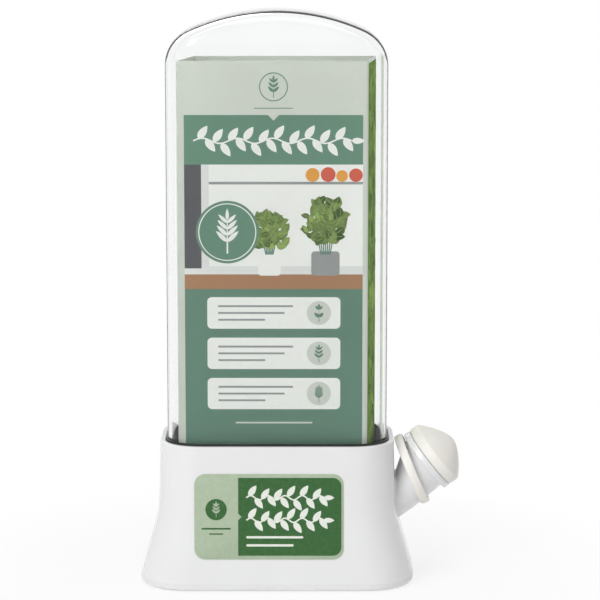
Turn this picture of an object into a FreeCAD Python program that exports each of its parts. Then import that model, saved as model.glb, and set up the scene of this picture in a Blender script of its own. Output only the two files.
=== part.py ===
"""Self-watering herb keeper, as a parametric FreeCAD document.

A flared white water tank carries a clear arched dome. A perforated basket hangs inside the
tank's ledge and holds the bunches with their stems in the water. The tank is topped up
through an oblique side spout, closed by a soft cap on a short strap. A printed card sleeve
stands inside the dome.

Frame: millimetres, +Z up, origin on the floor below the middle of the tank. +X points to the
spout and -Y to the front face. Every driving size is a cell of the Sizes sheet.
"""
import FreeCAD, Part
import math
import os
import Sketcher
from FreeCAD import Placement, Rotation, Vector

DRIVING = (
    # clear dome
    ("dome_length", 103.5, "outer length of the dome, along X"),
    ("dome_depth", 54.5, "outer depth of the dome, along Y"),
    ("dome_top", 270.0, "height of the dome's crown above the floor"),
    ("dome_wall", 1.8, "wall of the dome"),
    ("dome_corner", 16.0, "radius of the upright corners in plan"),
    ("arch_radius", 98.0, "radius of the arched top"),
    ("haunch_radius", 19.0, "radius between the arch and the straight sides"),
    # water tank
    ("foot_length", 129.6, "widest outer length, at the parting line of the floor"),
    ("foot_depth", 73.0, "widest outer depth, at the parting line of the floor"),
    ("foot_corner", 23.0, "corner radius in plan at the foot"),
    ("shoulder_height", 35.5, "height of the crease where the flare starts"),
    ("shoulder_corner", 20.0, "corner radius in plan at the shoulder"),
    ("shoulder_draft", 0.55, "growth of each end from the rim to the shoulder"),
    ("rim_height", 68.1, "height of the tank's rim"),
    ("rim_wall", 2.5, "wall beside the dome, at the rim"),
    ("rim_land", 1.2, "height of the upright band at the rim's top"),
    ("rim_bevel", 0.4, "bevel of the rim's edges"),
    ("seat_gap", 1.0, "gap between the dome and the rim pocket"),
    ("base_wall", 2.4, "wall of the tank"),
    ("ledge_height", 54.5, "top of the ledge that carries dome and basket"),
    ("ledge_thick", 2.2, "thickness of the ledge"),
    # floor of the tank
    ("floor_thick", 3.4, "thickness of the floor plate"),
    ("floor_round", 3.0, "rounding of the floor's lower edge"),
    ("rib_height", 4.0, "height of the rib that centres the floor in the tank"),
    ("rib_wall", 1.6, "thickness of that rib"),
    ("rib_inset", 1.5, "distance from the tank's wall to that rib"),
    # seal on the dome's lower edge
    ("seal_thick", 1.5, "thickness of the seal below the dome"),
    ("seal_lip", 0.7, "thickness of the seal's outer lip"),
    ("seal_proud", 0.9, "height of the lip above the rim"),
    # stem basket
    ("flange_gap", 0.95, "gap between the basket's flange and the dome's inner wall"),
    ("flange_thick", 1.4, "thickness of the basket's flange"),
    ("ledge_bearing", 3.5, "width of flange that rests on the ledge"),
    ("basket_gap", 0.6, "gap between the basket and the ledge's opening"),
    ("basket_wall", 1.5, "wall and floor of the basket"),
    ("basket_floor", 22.0, "underside of the basket above the floor"),
    ("basket_draft", 1.0, "how much each wall leans in from top to bottom"),
    ("divider_wall", 1.4, "wall between two wells, at the top"),
    ("slot_width", 3.0, "width of a drain slot"),
    ("slot_corner", 1.35, "corner radius of a drain slot"),
    ("slot_bar", 2.6, "bar between two drain slots"),
    ("slot_margin", 5.0, "distance from a slot's end to the well's wall"),
    # card sleeve
    ("card_side_gap", 5.95, "gap between the sleeve and the dome's ends"),
    ("card_face_gap", 4.45, "gap between the sleeve and the dome's front and back"),
    ("card_head_gap", 22.9, "gap between the sleeve and the dome's crown"),
    ("card_shift", 0.6, "distance of the sleeve's middle from the dome's, along X"),
    ("card_thick", 0.6, "thickness of the board"),
    ("card_fold", 0.9, "outer radius of a fold"),
    # sticker on the front face
    ("label_length", 69.7, "length of the front sticker"),
    ("label_height", 40.2, "height of the front sticker"),
    ("label_corner", 5.0, "corner radius of the front sticker"),
    ("label_thick", 0.25, "thickness of the front sticker"),
    ("label_middle", 35.65, "height of the sticker's middle above the floor"),
    ("label_shift", -3.6, "distance of the sticker's middle from the tank's, along X"),
    # spout
    ("root_reach", 0.8, "how far the spout's straight root stands past the shoulder"),
    ("root_diameter", 24.0, "outer diameter of the spout at the tank"),
    ("root_margin", 3.6, "wall left between the root's bore and the ledge"),
    ("neck_diameter", 27.0, "outer diameter of the spout below its lip"),
    ("spout_wall", 1.8, "wall of the spout"),
    ("spout_angle", 38.2, "rise of the spout's mouth axis above the horizontal, in degrees"),
    ("mouth_reach", 16.3, "distance of the lip's centre past the rim"),
    ("mouth_drop", 12.45, "distance of the lip's centre below the rim"),
    ("lip_diameter", 31.8, "outer diameter of the lip"),
    ("lip_thick", 3.2, "thickness of the lip"),
    ("lip_bevel", 0.5, "bevel of the lip's edges"),
    # cap
    ("cap_diameter", 31.8, "diameter of the cap's rim"),
    ("cap_rim", 4.6, "height of the cap's rim"),
    ("cap_bevel", 0.6, "bevel of the rim's lower edge"),
    ("cap_bulge", 40.0, "radius of the cap's rounded cone"),
    ("cap_nose", 9.2, "radius of the cap's nose"),
    ("cap_rise", 14.1, "height of the cap above its seat"),
    ("cap_seat", 0.15, "gap between the cap and the lip"),
    ("plug_gap", 0.5, "gap between the plug and the mouth's bore"),
    ("plug_length", 4.5, "length of the plug"),
    ("plug_taper", 0.7, "how much the plug narrows to its tip, on the radius"),
    ("plug_wall", 2.2, "wall of the hollow plug"),
    ("cap_hollow", 6.0, "depth of the cap's hollow above its seat"),
    # tether ring and strap
    ("ring_bore", 31.8, "inner diameter of the tether ring"),
    ("ring_wall", 1.8, "thickness of the ring, on the radius"),
    ("ring_width", 4.1, "width of the ring, along its axis"),
    ("ring_bevel", 0.3, "bevel of the ring's outer edges"),
    ("ring_tilt", 22.9, "rise of the ring's axis above the horizontal, in degrees"),
    ("ring_station", 0.535, "place of the ring along the spout's underside, from root to lip"),
    ("ring_clear", 0.3, "gap between the ring and the spout's underside"),
    ("boss_diameter", 3.0, "diameter of the small bosses that carry the strap"),
    ("boss_reach", 2.3, "how far the cap's boss stands past the rim"),
    ("boss_sink", 1.2, "how far the cap's boss is sunk into the rim"),
    ("strap_thick", 1.3, "thickness of the strap"),
    ("strap_width", 2.6, "width of the strap"),
    ("strap_rise", 5.0, "height of the strap's bow over its two feet"),
    ("strap_seat", 0.1, "gap between the strap's foot and the cap's boss"),
)

WELLS = 3
SLOTS = 4
TOLERANCE = 1e-4

DERIVED = (
    ("dome_foot", "ledge_height + seal_thick"),
    ("dome_height", "dome_top - dome_foot"),
    ("arch_centre", "dome_top - arch_radius"),
    ("inner_length", "dome_length - 2 * dome_wall"),
    ("inner_depth", "dome_depth - 2 * dome_wall"),
    ("inner_corner", "dome_corner - dome_wall"),
    ("rim_length", "dome_length + 2 * (seat_gap + rim_wall)"),
    ("rim_depth", "dome_depth + 2 * (seat_gap + rim_wall)"),
    ("rim_corner", "dome_corner + seat_gap + rim_wall"),
    ("pocket_length", "dome_length + 2 * seat_gap"),
    ("pocket_depth", "dome_depth + 2 * seat_gap"),
    ("pocket_corner", "dome_corner + seat_gap"),
    ("pocket_run", "rim_height - ledge_height"),
    ("land_height", "rim_height - rim_land"),
    ("flank_height", "land_height - floor_thick"),
    ("lean_run", "(foot_depth - rim_depth) / 2"),
    ("shoulder_length", "rim_length + 2 * shoulder_draft"),
    ("shoulder_depth", "rim_depth + 2 * lean_run * (land_height - shoulder_height) / flank_height"),
    ("tank_foot_length", "foot_length - 2 * base_wall"),
    ("tank_foot_depth", "foot_depth - 2 * base_wall"),
    ("tank_foot_corner", "foot_corner - base_wall"),
    ("tank_shoulder_length", "shoulder_length - 2 * base_wall"),
    ("tank_shoulder_depth", "shoulder_depth - 2 * base_wall"),
    ("tank_shoulder_corner", "shoulder_corner - base_wall"),
    ("tank_rim_length", "rim_length - 2 * base_wall"),
    ("tank_rim_depth", "rim_depth - 2 * base_wall"),
    ("tank_rim_corner", "rim_corner - base_wall"),
    ("ledge_length", "rim_length - base_wall"),
    ("ledge_depth", "rim_depth - base_wall"),
    ("ledge_corner", "rim_corner - base_wall / 2"),
    ("rib_length", "tank_foot_length - 2 * rib_inset"),
    ("rib_depth", "tank_foot_depth - 2 * rib_inset"),
    ("rib_corner", "tank_foot_corner - rib_inset"),
    ("rib_inner_length", "rib_length - 2 * rib_wall"),
    ("rib_inner_depth", "rib_depth - 2 * rib_wall"),
    ("rib_inner_corner", "rib_corner - rib_wall"),
    ("seal_length", "dome_length + 2 * seal_lip"),
    ("seal_depth", "dome_depth + 2 * seal_lip"),
    ("seal_corner", "dome_corner + seal_lip"),
    ("lip_run", "rim_height + seal_proud - dome_foot"),
    ("flange_length", "inner_length - 2 * flange_gap"),
    ("flange_depth", "inner_depth - 2 * flange_gap"),
    ("flange_corner", "inner_corner - flange_gap"),
    ("flange_top", "ledge_height + flange_thick"),
    ("opening_length", "flange_length - 2 * ledge_bearing"),
    ("opening_depth", "flange_depth - 2 * ledge_bearing"),
    ("opening_corner", "flange_corner - ledge_bearing"),
    ("basket_length", "opening_length - 2 * basket_gap"),
    ("basket_depth", "opening_depth - 2 * basket_gap"),
    ("basket_corner", "opening_corner - basket_gap"),
    ("basket_foot_length", "basket_length - 2 * basket_draft"),
    ("basket_foot_depth", "basket_depth - 2 * basket_draft"),
    ("well_floor", "basket_floor + basket_wall"),
    ("well_length", f"(basket_length - 2 * basket_wall - {WELLS - 1} * divider_wall) / {WELLS}"),
    ("well_depth", "basket_depth - 2 * basket_wall"),
    ("well_corner", "basket_corner - basket_wall"),
    ("well_foot_length", "well_length - 2 * basket_draft"),
    ("well_foot_depth", "well_depth - 2 * basket_draft"),
    ("well_pitch", "well_length + divider_wall"),
    ("well_spread", f"well_pitch * {WELLS - 1}"),
    ("well_offset", "well_spread / 2"),
    ("slot_length", "well_foot_depth - 2 * slot_margin"),
    ("slot_pitch", "slot_width + slot_bar"),
    ("card_length", "inner_length - 2 * card_side_gap"),
    ("card_depth", "inner_depth - 2 * card_face_gap"),
    ("card_height", "dome_top - card_head_gap - flange_top"),
    ("card_inner_length", "card_length - 2 * card_thick"),
    ("card_inner_depth", "card_depth - 2 * card_thick"),
    ("card_inner_fold", "card_fold - card_thick"),
    ("root_plane", "shoulder_length / 2 + root_reach"),
    ("root_bore", "root_diameter - 2 * spout_wall"),
    ("root_height", "ledge_height - ledge_thick - root_bore / 2 - root_margin"),
    ("root_run", "root_reach + base_wall"),
    ("bore_plane", "root_plane + base_wall"),
    ("bore_run", "root_reach + shoulder_draft + 3 * base_wall"),
    ("neck_bore", "neck_diameter - 2 * spout_wall"),
    ("mouth_x", "rim_length / 2 + mouth_reach"),
    ("mouth_z", "rim_height - mouth_drop"),
    ("axis_x", "cos(spout_angle)"),
    ("axis_z", "sin(spout_angle)"),
    ("neck_x", "mouth_x - axis_x * lip_thick / 2"),
    ("neck_z", "mouth_z - axis_z * lip_thick / 2"),
    ("cap_x", "mouth_x + axis_x * (lip_thick / 2 + cap_seat)"),
    ("cap_z", "mouth_z + axis_z * (lip_thick / 2 + cap_seat)"),
    ("plug_root", "neck_bore / 2 - plug_gap"),
    ("plug_tip", "plug_root - plug_taper"),
    ("plug_bore", "2 * (plug_tip - plug_wall)"),
    ("plug_bore_run", "plug_length + cap_hollow"),
    ("cap_radius", "cap_diameter / 2"),
    ("boss_height", "cap_rim / 2"),
    ("strap_plane", "cap_radius + boss_reach"),
    ("cap_boss_plane", "strap_plane - strap_seat"),
    ("cap_boss_run", "boss_reach + boss_sink"),
    ("boss_x", "cap_x + axis_x * boss_height"),
    ("boss_z", "cap_z + axis_z * boss_height"),
    ("under_root_z", "root_height - root_diameter / 2"),
    ("under_neck_x", "neck_x + axis_z * neck_diameter / 2"),
    ("under_neck_z", "neck_z - axis_x * neck_diameter / 2"),
    ("under_angle", "atan2(under_neck_z - under_root_z; under_neck_x - root_plane)"),
    ("touch_x", "root_plane + ring_station * (under_neck_x - root_plane)"),
    ("touch_z", "under_root_z + ring_station * (under_neck_z - under_root_z)"),
    ("ring_x", "touch_x + ring_clear * sin(under_angle) - ring_bore / 2 * sin(ring_tilt)"
               " + ring_width / 2 * cos(ring_tilt)"),
    ("ring_z", "touch_z - ring_clear * cos(under_angle) + ring_bore / 2 * cos(ring_tilt)"
               " + ring_width / 2 * sin(ring_tilt)"),
    ("ring_diameter", "ring_bore + 2 * ring_wall"),
    ("ring_boss_run", "strap_plane - (ring_bore + ring_wall) / 2"),
    ("strap_span", "hypot(boss_x - ring_x; boss_z - ring_z)"),
    ("strap_angle", "atan2(boss_z - ring_z; boss_x - ring_x)"),
    ("strap_radius", "(strap_span ^ 2 / 4 + strap_rise ^ 2) / (2 * strap_rise)"),
    ("strap_hub", "strap_plane + strap_rise - strap_radius"),
    ("strap_outer", "strap_radius + strap_thick / 2"),
    ("strap_inner", "strap_radius - strap_thick / 2"),
    ("strap_x", "(ring_x + boss_x) / 2"),
    ("strap_z", "(ring_z + boss_z) / 2"),
    ("label_lean", "atan2(lean_run; flank_height)"),
    ("label_front", "-foot_depth / 2 + (label_middle - floor_thick) * lean_run / flank_height"),
) + tuple((f"slot_{i + 1}_centre", f"well_offset + {i - (SLOTS - 1) / 2} * slot_pitch")
          for i in range(SLOTS))

document = FreeCAD.newDocument("HerbKeeper")
sheet = document.addObject("Spreadsheet::Sheet", "Sizes")


def fill_sheet():
    """Write each driving size as a plain number and each derived one as a formula."""
    for row, (alias, value, note) in enumerate(DRIVING, start=1):
        sheet.set(f"A{row}", note)
        sheet.set(f"B{row}", str(value))
        sheet.setAlias(f"B{row}", alias)
    for row, (alias, formula) in enumerate(DERIVED, start=len(DRIVING) + 2):
        sheet.set(f"B{row}", "=" + formula)
        sheet.setAlias(f"B{row}", alias)
    document.recompute()


def size(alias):
    """Current value of a sheet cell, in millimetres or degrees."""
    value = sheet.get(alias)
    return float(getattr(value, "Value", value))


def cell(alias):
    """Expression that points at a sheet cell."""
    return "Sizes." + alias


# ---------------------------------------------------------------- sketch helpers

def new_body(label):
    """Empty PartDesign body with the sub-part's name."""
    body = document.addObject("PartDesign::Body", label)
    body.Label = label
    return body


def origin_feature(body, role):
    """One of the body's own origin planes or axes."""
    return next(item for item in body.Origin.OriginFeatures if item.Role == role)


def plane_sketch(body, name, role, shift=None):
    """Sketch on one of the body's origin planes, moved along its normal by a sheet cell."""
    sketch = body.newObject("Sketcher::SketchObject", name)
    sketch.AttachmentSupport = [(origin_feature(body, role), "")]
    sketch.MapMode = "FlatFace"
    if shift:
        sketch.setExpression(".AttachmentOffset.Base.z", shift_expression(shift))
    return sketch


def shift_expression(shift):
    """Expression for a sheet cell whose name may carry a minus sign."""
    return "-" + cell(shift[1:]) if shift.startswith("-") else cell(shift)


def constrain(sketch, kind, *arguments):
    """Add a geometric constraint."""
    return sketch.addConstraint(Sketcher.Constraint(kind, *arguments))


def dimension(sketch, name, alias, kind, *arguments):
    """Add a dimension that follows a sheet cell."""
    index = sketch.addConstraint(Sketcher.Constraint(kind, *arguments, size(alias)))
    sketch.renameConstraint(index, name)
    sketch.setExpression("Constraints." + name, cell(alias))


def rounded_rectangle(sketch, prefix, length, depth, corner, centre=None):
    """Rounded rectangle about the origin, or about a point on the sketch's X axis."""
    middle = size(centre) if centre else 0.0
    half_x = size(length) / 2
    half_y = size(depth) / 2
    radius = size(corner)
    straight_x = half_x - radius
    straight_y = half_y - radius
    start = sketch.GeometryCount
    corners = ((1, -1), (1, 1), (-1, 1), (-1, -1))
    for index, (sign_x, sign_y) in enumerate(corners):
        turn = math.radians(90 * index - 90)
        hub = Vector(middle + sign_x * straight_x, sign_y * straight_y, 0)
        circle = Part.Circle(hub, Vector(0, 0, 1), radius)
        arc = Part.ArcOfCircle(circle, turn, turn + math.pi / 2)
        sketch.addGeometry(arc, False)
    for index in range(4):
        tail = sketch.Geometry[start + index].EndPoint
        head = sketch.Geometry[start + (index + 1) % 4].StartPoint
        sketch.addGeometry(Part.LineSegment(tail, head), False)
    for index in range(4):
        line = start + 4 + index
        constrain(sketch, "Tangent", start + index, 2, line, 1)
        constrain(sketch, "Tangent", line, 2, start + (index + 1) % 4, 1)
        constrain(sketch, "Vertical" if index % 2 == 0 else "Horizontal", line)
    for index in range(1, 4):
        constrain(sketch, "Equal", start, start + index)
    dimension(sketch, prefix + "_corner", corner, "Radius", start)
    dimension(sketch, prefix + "_length", length, "DistanceX", start + 6, 1, start + 4, 1)
    dimension(sketch, prefix + "_depth", depth, "DistanceY", start + 7, 1, start + 5, 1)
    if centre:
        point = sketch.addGeometry(Part.Point(Vector(middle, 0, 0)), True)
        constrain(sketch, "PointOnObject", point, 1, -1)
        dimension(sketch, prefix + "_centre", centre, "DistanceX", -1, 1, point, 1)
        constrain(sketch, "Symmetric", start, 3, start + 2, 3, point, 1)
    else:
        constrain(sketch, "Symmetric", start, 3, start + 2, 3, -1, 1)


def circle_at_origin(sketch, prefix, diameter):
    """Circle about the sketch's origin."""
    index = sketch.addGeometry(Part.Circle(Vector(), Vector(0, 0, 1), size(diameter) / 2), False)
    constrain(sketch, "Coincident", index, 3, -1, 1)
    dimension(sketch, prefix + "_diameter", diameter, "Diameter", index)


def circle_above_origin(sketch, prefix, diameter, height):
    """Circle whose centre lies on the sketch's Y axis at a sheet height."""
    hub = Vector(0, size(height), 0)
    index = sketch.addGeometry(Part.Circle(hub, Vector(0, 0, 1), size(diameter) / 2), False)
    constrain(sketch, "PointOnObject", index, 3, -2)
    dimension(sketch, prefix + "_height", height, "DistanceY", -1, 1, index, 3)
    dimension(sketch, prefix + "_diameter", diameter, "Diameter", index)


def place(body, axis, turn, **position):
    """Stand a body at sheet coordinates, turned about an axis by an expression in degrees."""
    body.Placement = Placement(Vector(), Rotation(Vector(*axis), 1))
    body.setExpression(".Placement.Rotation.Angle", f"({turn}) * 1 deg")
    for direction, alias in position.items():
        body.setExpression(f".Placement.Base.{direction}", cell(alias))


# ---------------------------------------------------------------- feature helpers

def pad(body, name, sketch, length, reverse=False, symmetric=False):
    """Pad a sketch by a sheet length."""
    feature = body.newObject("PartDesign::Pad", name)
    feature.Profile = sketch
    feature.Reversed = reverse
    feature.SideType = "Symmetric" if symmetric else "One side"
    feature.setExpression("Length", cell(length))
    return feature


def pocket(body, name, sketch, length, reverse=False):
    """Cut a sketch into the body by a sheet length, against the sketch's normal."""
    feature = body.newObject("PartDesign::Pocket", name)
    feature.Profile = sketch
    feature.Reversed = reverse
    feature.setExpression("Length", cell(length))
    return feature


def loft(body, name, sections, cut=False):
    """Ruled loft through the sections, added to the body or cut from it."""
    kind = "PartDesign::SubtractiveLoft" if cut else "PartDesign::AdditiveLoft"
    feature = body.newObject(kind, name)
    feature.Profile = sections[0]
    feature.Sections = list(sections[1:])
    feature.Ruled = True
    return feature


def fillet(body, name, base, edges, radius):
    """Round the listed edges of a feature by a sheet radius."""
    feature = body.newObject("PartDesign::Fillet", name)
    feature.Base = (base, edges)
    feature.setExpression("Radius", cell(radius))
    return feature


def chamfer(body, name, base, edges, width):
    """Bevel the listed edges of a feature by a sheet width."""
    feature = body.newObject("PartDesign::Chamfer", name)
    feature.Base = (base, edges)
    feature.setExpression("Size", cell(width))
    return feature


def edges_where(feature, test):
    """Names of the feature's edges that pass a test."""
    document.recompute()
    return [f"Edge{i}" for i, edge in enumerate(feature.Shape.Edges, start=1) if test(edge)]


def circles_of(feature, radius):
    """Names of the feature's circular edges of one radius."""
    def fits(edge):
        if edge.Degenerated or not isinstance(edge.Curve, Part.Circle):
            return False
        return abs(edge.Curve.Radius - radius) < TOLERANCE

    return edges_where(feature, fits)


def lies_at_height(edge, height):
    """True if the whole edge lies in one horizontal plane."""
    box = edge.BoundBox
    return abs(box.ZMin - height) < TOLERANCE and abs(box.ZMax - height) < TOLERANCE


def section(body, name, shift, length, depth, corner):
    """Horizontal rounded-rectangle section of the body at a sheet height."""
    sketch = plane_sketch(body, name, "XY_Plane", shift)
    rounded_rectangle(sketch, "outline", length, depth, corner)
    return sketch


def frame_section(body, name, shift, outer, inner):
    """Horizontal band between two rounded rectangles."""
    sketch = plane_sketch(body, name, "XY_Plane", shift)
    rounded_rectangle(sketch, "outer", *outer)
    rounded_rectangle(sketch, "inner", *inner)
    return sketch


# ---------------------------------------------------------------- water tank

def outer_form(body):
    """Flared outside of the tank: foot to shoulder, then almost straight up to the rim."""
    foot = section(body, "foot", "floor_thick", "foot_length", "foot_depth", "foot_corner")
    shoulder = section(body, "shoulder", "shoulder_height",
                       "shoulder_length", "shoulder_depth", "shoulder_corner")
    rim = section(body, "rim", "land_height", "rim_length", "rim_depth", "rim_corner")
    loft(body, "flanks", (foot, shoulder, rim))
    land = section(body, "land_outline", "land_height", "rim_length", "rim_depth", "rim_corner")
    return pad(body, "land", land, "rim_land")


def make_base_shell():
    """Tank shell: flared loft, hollowed by a smaller one, with the ledge inside."""
    body = new_body("base_shell")
    outer_form(body)
    inner_foot = section(body, "inner_foot", "floor_thick",
                         "tank_foot_length", "tank_foot_depth", "tank_foot_corner")
    inner_shoulder = section(body, "inner_shoulder", "shoulder_height",
                             "tank_shoulder_length", "tank_shoulder_depth",
                             "tank_shoulder_corner")
    inner_rim = section(body, "inner_rim", "land_height",
                        "tank_rim_length", "tank_rim_depth", "tank_rim_corner")
    loft(body, "hollow", (inner_foot, inner_shoulder, inner_rim), cut=True)
    ledge_band = frame_section(body, "ledge_band", "ledge_height",
                               ("ledge_length", "ledge_depth", "ledge_corner"),
                               ("opening_length", "opening_depth", "opening_corner"))
    pad(body, "ledge", ledge_band, "ledge_thick", reverse=True)
    pocket_outline = section(body, "pocket_outline", "rim_height",
                             "pocket_length", "pocket_depth", "pocket_corner")
    pocket(body, "dome_pocket", pocket_outline, "pocket_run")
    inlet = plane_sketch(body, "inlet", "YZ_Plane", "bore_plane")
    circle_above_origin(inlet, "inlet", "root_bore", "root_height")
    bored = pocket(body, "inlet_bore", inlet, "bore_run")
    rim_edges = edges_where(bored, lambda edge: lies_at_height(edge, size("rim_height")))
    chamfer(body, "rim_edges", bored, rim_edges, "rim_bevel")
    return body


def make_base_floor():
    """Floor plate with a rounded lower edge and a rib that centres it in the tank."""
    body = new_body("base_floor")
    outline = plane_sketch(body, "outline", "XY_Plane")
    rounded_rectangle(outline, "outline", "foot_length", "foot_depth", "foot_corner")
    plate = pad(body, "plate", outline, "floor_thick")
    lower_edges = edges_where(plate, lambda edge: lies_at_height(edge, 0.0))
    fillet(body, "lower_edge", plate, lower_edges, "floor_round")
    band = frame_section(body, "rib_band", "floor_thick",
                         ("rib_length", "rib_depth", "rib_corner"),
                         ("rib_inner_length", "rib_inner_depth", "rib_inner_corner"))
    pad(body, "rib", band, "rib_height")
    return body


# ---------------------------------------------------------------- dome and seal

def spring_height():
    """Height where the dome's straight sides run into the haunches."""
    between = size("arch_radius") - size("haunch_radius")
    hub_x = size("dome_length") / 2 - size("haunch_radius")
    return size("arch_centre") + math.sqrt(between ** 2 - hub_x ** 2)


def dome_outline(body):
    """Front view of the dome: straight sides, round haunches and a shallow arch."""
    half = size("dome_length") / 2
    foot = size("dome_foot")
    arch = size("arch_radius")
    haunch = size("haunch_radius")
    arch_centre = Vector(0, size("arch_centre"), 0)
    hub_x = half - haunch
    hub_y = spring_height()
    meet = math.atan2(hub_y - arch_centre.y, hub_x)
    normal = Vector(0, 0, 1)
    sketch = plane_sketch(body, "outline", "XZ_Plane")
    sketch.addGeometry([
        Part.LineSegment(Vector(-half, foot, 0), Vector(half, foot, 0)),
        Part.LineSegment(Vector(half, foot, 0), Vector(half, hub_y, 0)),
        Part.ArcOfCircle(Part.Circle(Vector(hub_x, hub_y, 0), normal, haunch), 0, meet),
        Part.ArcOfCircle(Part.Circle(arch_centre, normal, arch), meet, math.pi - meet),
        Part.ArcOfCircle(Part.Circle(Vector(-hub_x, hub_y, 0), normal, haunch),
                         math.pi - meet, math.pi),
        Part.LineSegment(Vector(-half, hub_y, 0), Vector(-half, foot, 0)),
    ], False)
    floor_line, right, right_haunch, crown, left_haunch, left = range(6)
    constrain(sketch, "Coincident", floor_line, 2, right, 1)
    constrain(sketch, "Coincident", left, 2, floor_line, 1)
    chain = (right, right_haunch, crown, left_haunch, left)
    for first, second in zip(chain, chain[1:]):
        constrain(sketch, "Tangent", first, 2, second, 1)
    constrain(sketch, "Vertical", right)
    constrain(sketch, "Vertical", left)
    constrain(sketch, "Equal", right_haunch, left_haunch)
    constrain(sketch, "Symmetric", floor_line, 1, floor_line, 2, -2)
    constrain(sketch, "PointOnObject", crown, 3, -2)
    dimension(sketch, "length", "dome_length", "DistanceX", floor_line, 1, floor_line, 2)
    dimension(sketch, "foot", "dome_foot", "DistanceY", -1, 1, floor_line, 2)
    dimension(sketch, "arch_centre", "arch_centre", "DistanceY", -1, 1, crown, 3)
    dimension(sketch, "arch_radius", "arch_radius", "Radius", crown)
    dimension(sketch, "haunch_radius", "haunch_radius", "Radius", right_haunch)
    return sketch


def make_dome_cover():
    """Clear dome: a slab of the arched outline with round upright corners, hollowed from below."""
    body = new_body("dome_cover")
    pad(body, "slab", dome_outline(body), "dome_depth", symmetric=True)
    corners = frame_section(body, "corner_cut", "dome_top",
                            ("foot_length", "foot_depth", "foot_corner"),
                            ("dome_length", "dome_depth", "dome_corner"))
    upright = pocket(body, "upright_corners", corners, "dome_height")
    document.recompute()
    foot = size("dome_foot")
    open_face = next(f"Face{i}" for i, face in enumerate(upright.Shape.Faces, start=1)
                     if abs(face.BoundBox.ZMax - foot) < TOLERANCE)
    hollow = body.newObject("PartDesign::Thickness", "hollow")
    hollow.Base = (upright, [open_face])
    hollow.Reversed = True
    hollow.setExpression("Value", cell("dome_wall"))
    return body


def make_dome_seal():
    """Seal with an L section: a foot below the dome's edge and a lip up the rim's gap."""
    body = new_body("dome_seal")
    foot_band = frame_section(body, "foot_band", "ledge_height",
                              ("seal_length", "seal_depth", "seal_corner"),
                              ("inner_length", "inner_depth", "inner_corner"))
    pad(body, "foot", foot_band, "seal_thick")
    lip_band = frame_section(body, "lip_band", "dome_foot",
                             ("seal_length", "seal_depth", "seal_corner"),
                             ("dome_length", "dome_depth", "dome_corner"))
    pad(body, "lip", lip_band, "lip_run")
    return body


# ---------------------------------------------------------------- stem basket and paper

def make_stem_tray():
    """Basket with drafted wells, a flange that hangs on the ledge and a slotted floor."""
    body = new_body("stem_tray")
    foot = section(body, "basket_foot", "basket_floor",
                   "basket_foot_length", "basket_foot_depth", "basket_corner")
    mouth = section(body, "basket_mouth", "ledge_height",
                    "basket_length", "basket_depth", "basket_corner")
    loft(body, "basket", (foot, mouth))
    flange_outline = section(body, "flange_outline", "ledge_height",
                             "flange_length", "flange_depth", "flange_corner")
    pad(body, "flange", flange_outline, "flange_thick")

    well_mouth = plane_sketch(body, "well_mouth", "XY_Plane", "flange_top")
    rounded_rectangle(well_mouth, "well", "well_length", "well_depth", "well_corner",
                      centre="well_offset")
    well_foot = plane_sketch(body, "well_foot", "XY_Plane", "well_floor")
    rounded_rectangle(well_foot, "well", "well_foot_length", "well_foot_depth", "well_corner",
                      centre="well_offset")
    well = loft(body, "well", (well_mouth, well_foot), cut=True)
    slots = make_well_slots(body)
    row = body.newObject("PartDesign::LinearPattern", "well_row")
    row.Originals = [well, slots]
    row.Direction = (well_mouth, ["H_Axis"])
    row.Reversed = True
    row.Occurrences = WELLS
    row.setExpression("Length", cell("well_spread"))
    body.Tip = row
    return body


def make_well_slots(body):
    """Drain slots through the floor of the first well, as a row of their own."""
    sketch = plane_sketch(body, "slot_outline", "XY_Plane", "well_floor")
    for index in range(SLOTS):
        alias = f"slot_{index + 1}_centre"
        rounded_rectangle(sketch, f"slot_{index + 1}", "slot_width", "slot_length",
                          "slot_corner", centre=alias)
    return pocket(body, "slots", sketch, "basket_wall")


def make_display_card():
    """Folded board sleeve that stands on the basket's flange."""
    body = new_body("display_card")
    band = frame_section(body, "sleeve_band", "flange_top",
                         ("card_length", "card_depth", "card_fold"),
                         ("card_inner_length", "card_inner_depth", "card_inner_fold"))
    pad(body, "sleeve", band, "card_height")
    body.setExpression(".Placement.Base.x", cell("card_shift"))
    return body


def make_front_label():
    """Sticker on the leaning front face."""
    body = new_body("front_label")
    outline = plane_sketch(body, "outline", "XY_Plane")
    rounded_rectangle(outline, "outline", "label_length", "label_height", "label_corner")
    pad(body, "sticker", outline, "label_thick")
    place(body, (1, 0, 0), "90 - Sizes.label_lean / 1 deg",
          x="label_shift", y="label_front", z="label_middle")
    return body


# ---------------------------------------------------------------- spout

def mouth_sketch(body, name, along):
    """Sketch across the mouth's axis, at a signed distance from the middle of the lip."""
    sketch = body.newObject("Sketcher::SketchObject", name)
    sketch.AttachmentSupport = [(origin_feature(body, "YZ_Plane"), "")]
    sketch.MapMode = "FlatFace"
    sketch.AttachmentOffset = Placement(Vector(), Rotation(Vector(-1, 0, 0), 1))
    sketch.setExpression(".AttachmentOffset.Rotation.Angle", "Sizes.spout_angle * 1 deg")
    sketch.setExpression(".AttachmentOffset.Base.y", f"Sizes.mouth_z + ({along}) * Sizes.axis_z")
    sketch.setExpression(".AttachmentOffset.Base.z", f"Sizes.mouth_x + ({along}) * Sizes.axis_x")
    return sketch


def root_sketch(body, name, diameter):
    """Circle on the upright plane where the spout's funnel starts."""
    sketch = plane_sketch(body, name, "YZ_Plane", "root_plane")
    circle_above_origin(sketch, "root", diameter, "root_height")
    return sketch


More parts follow.
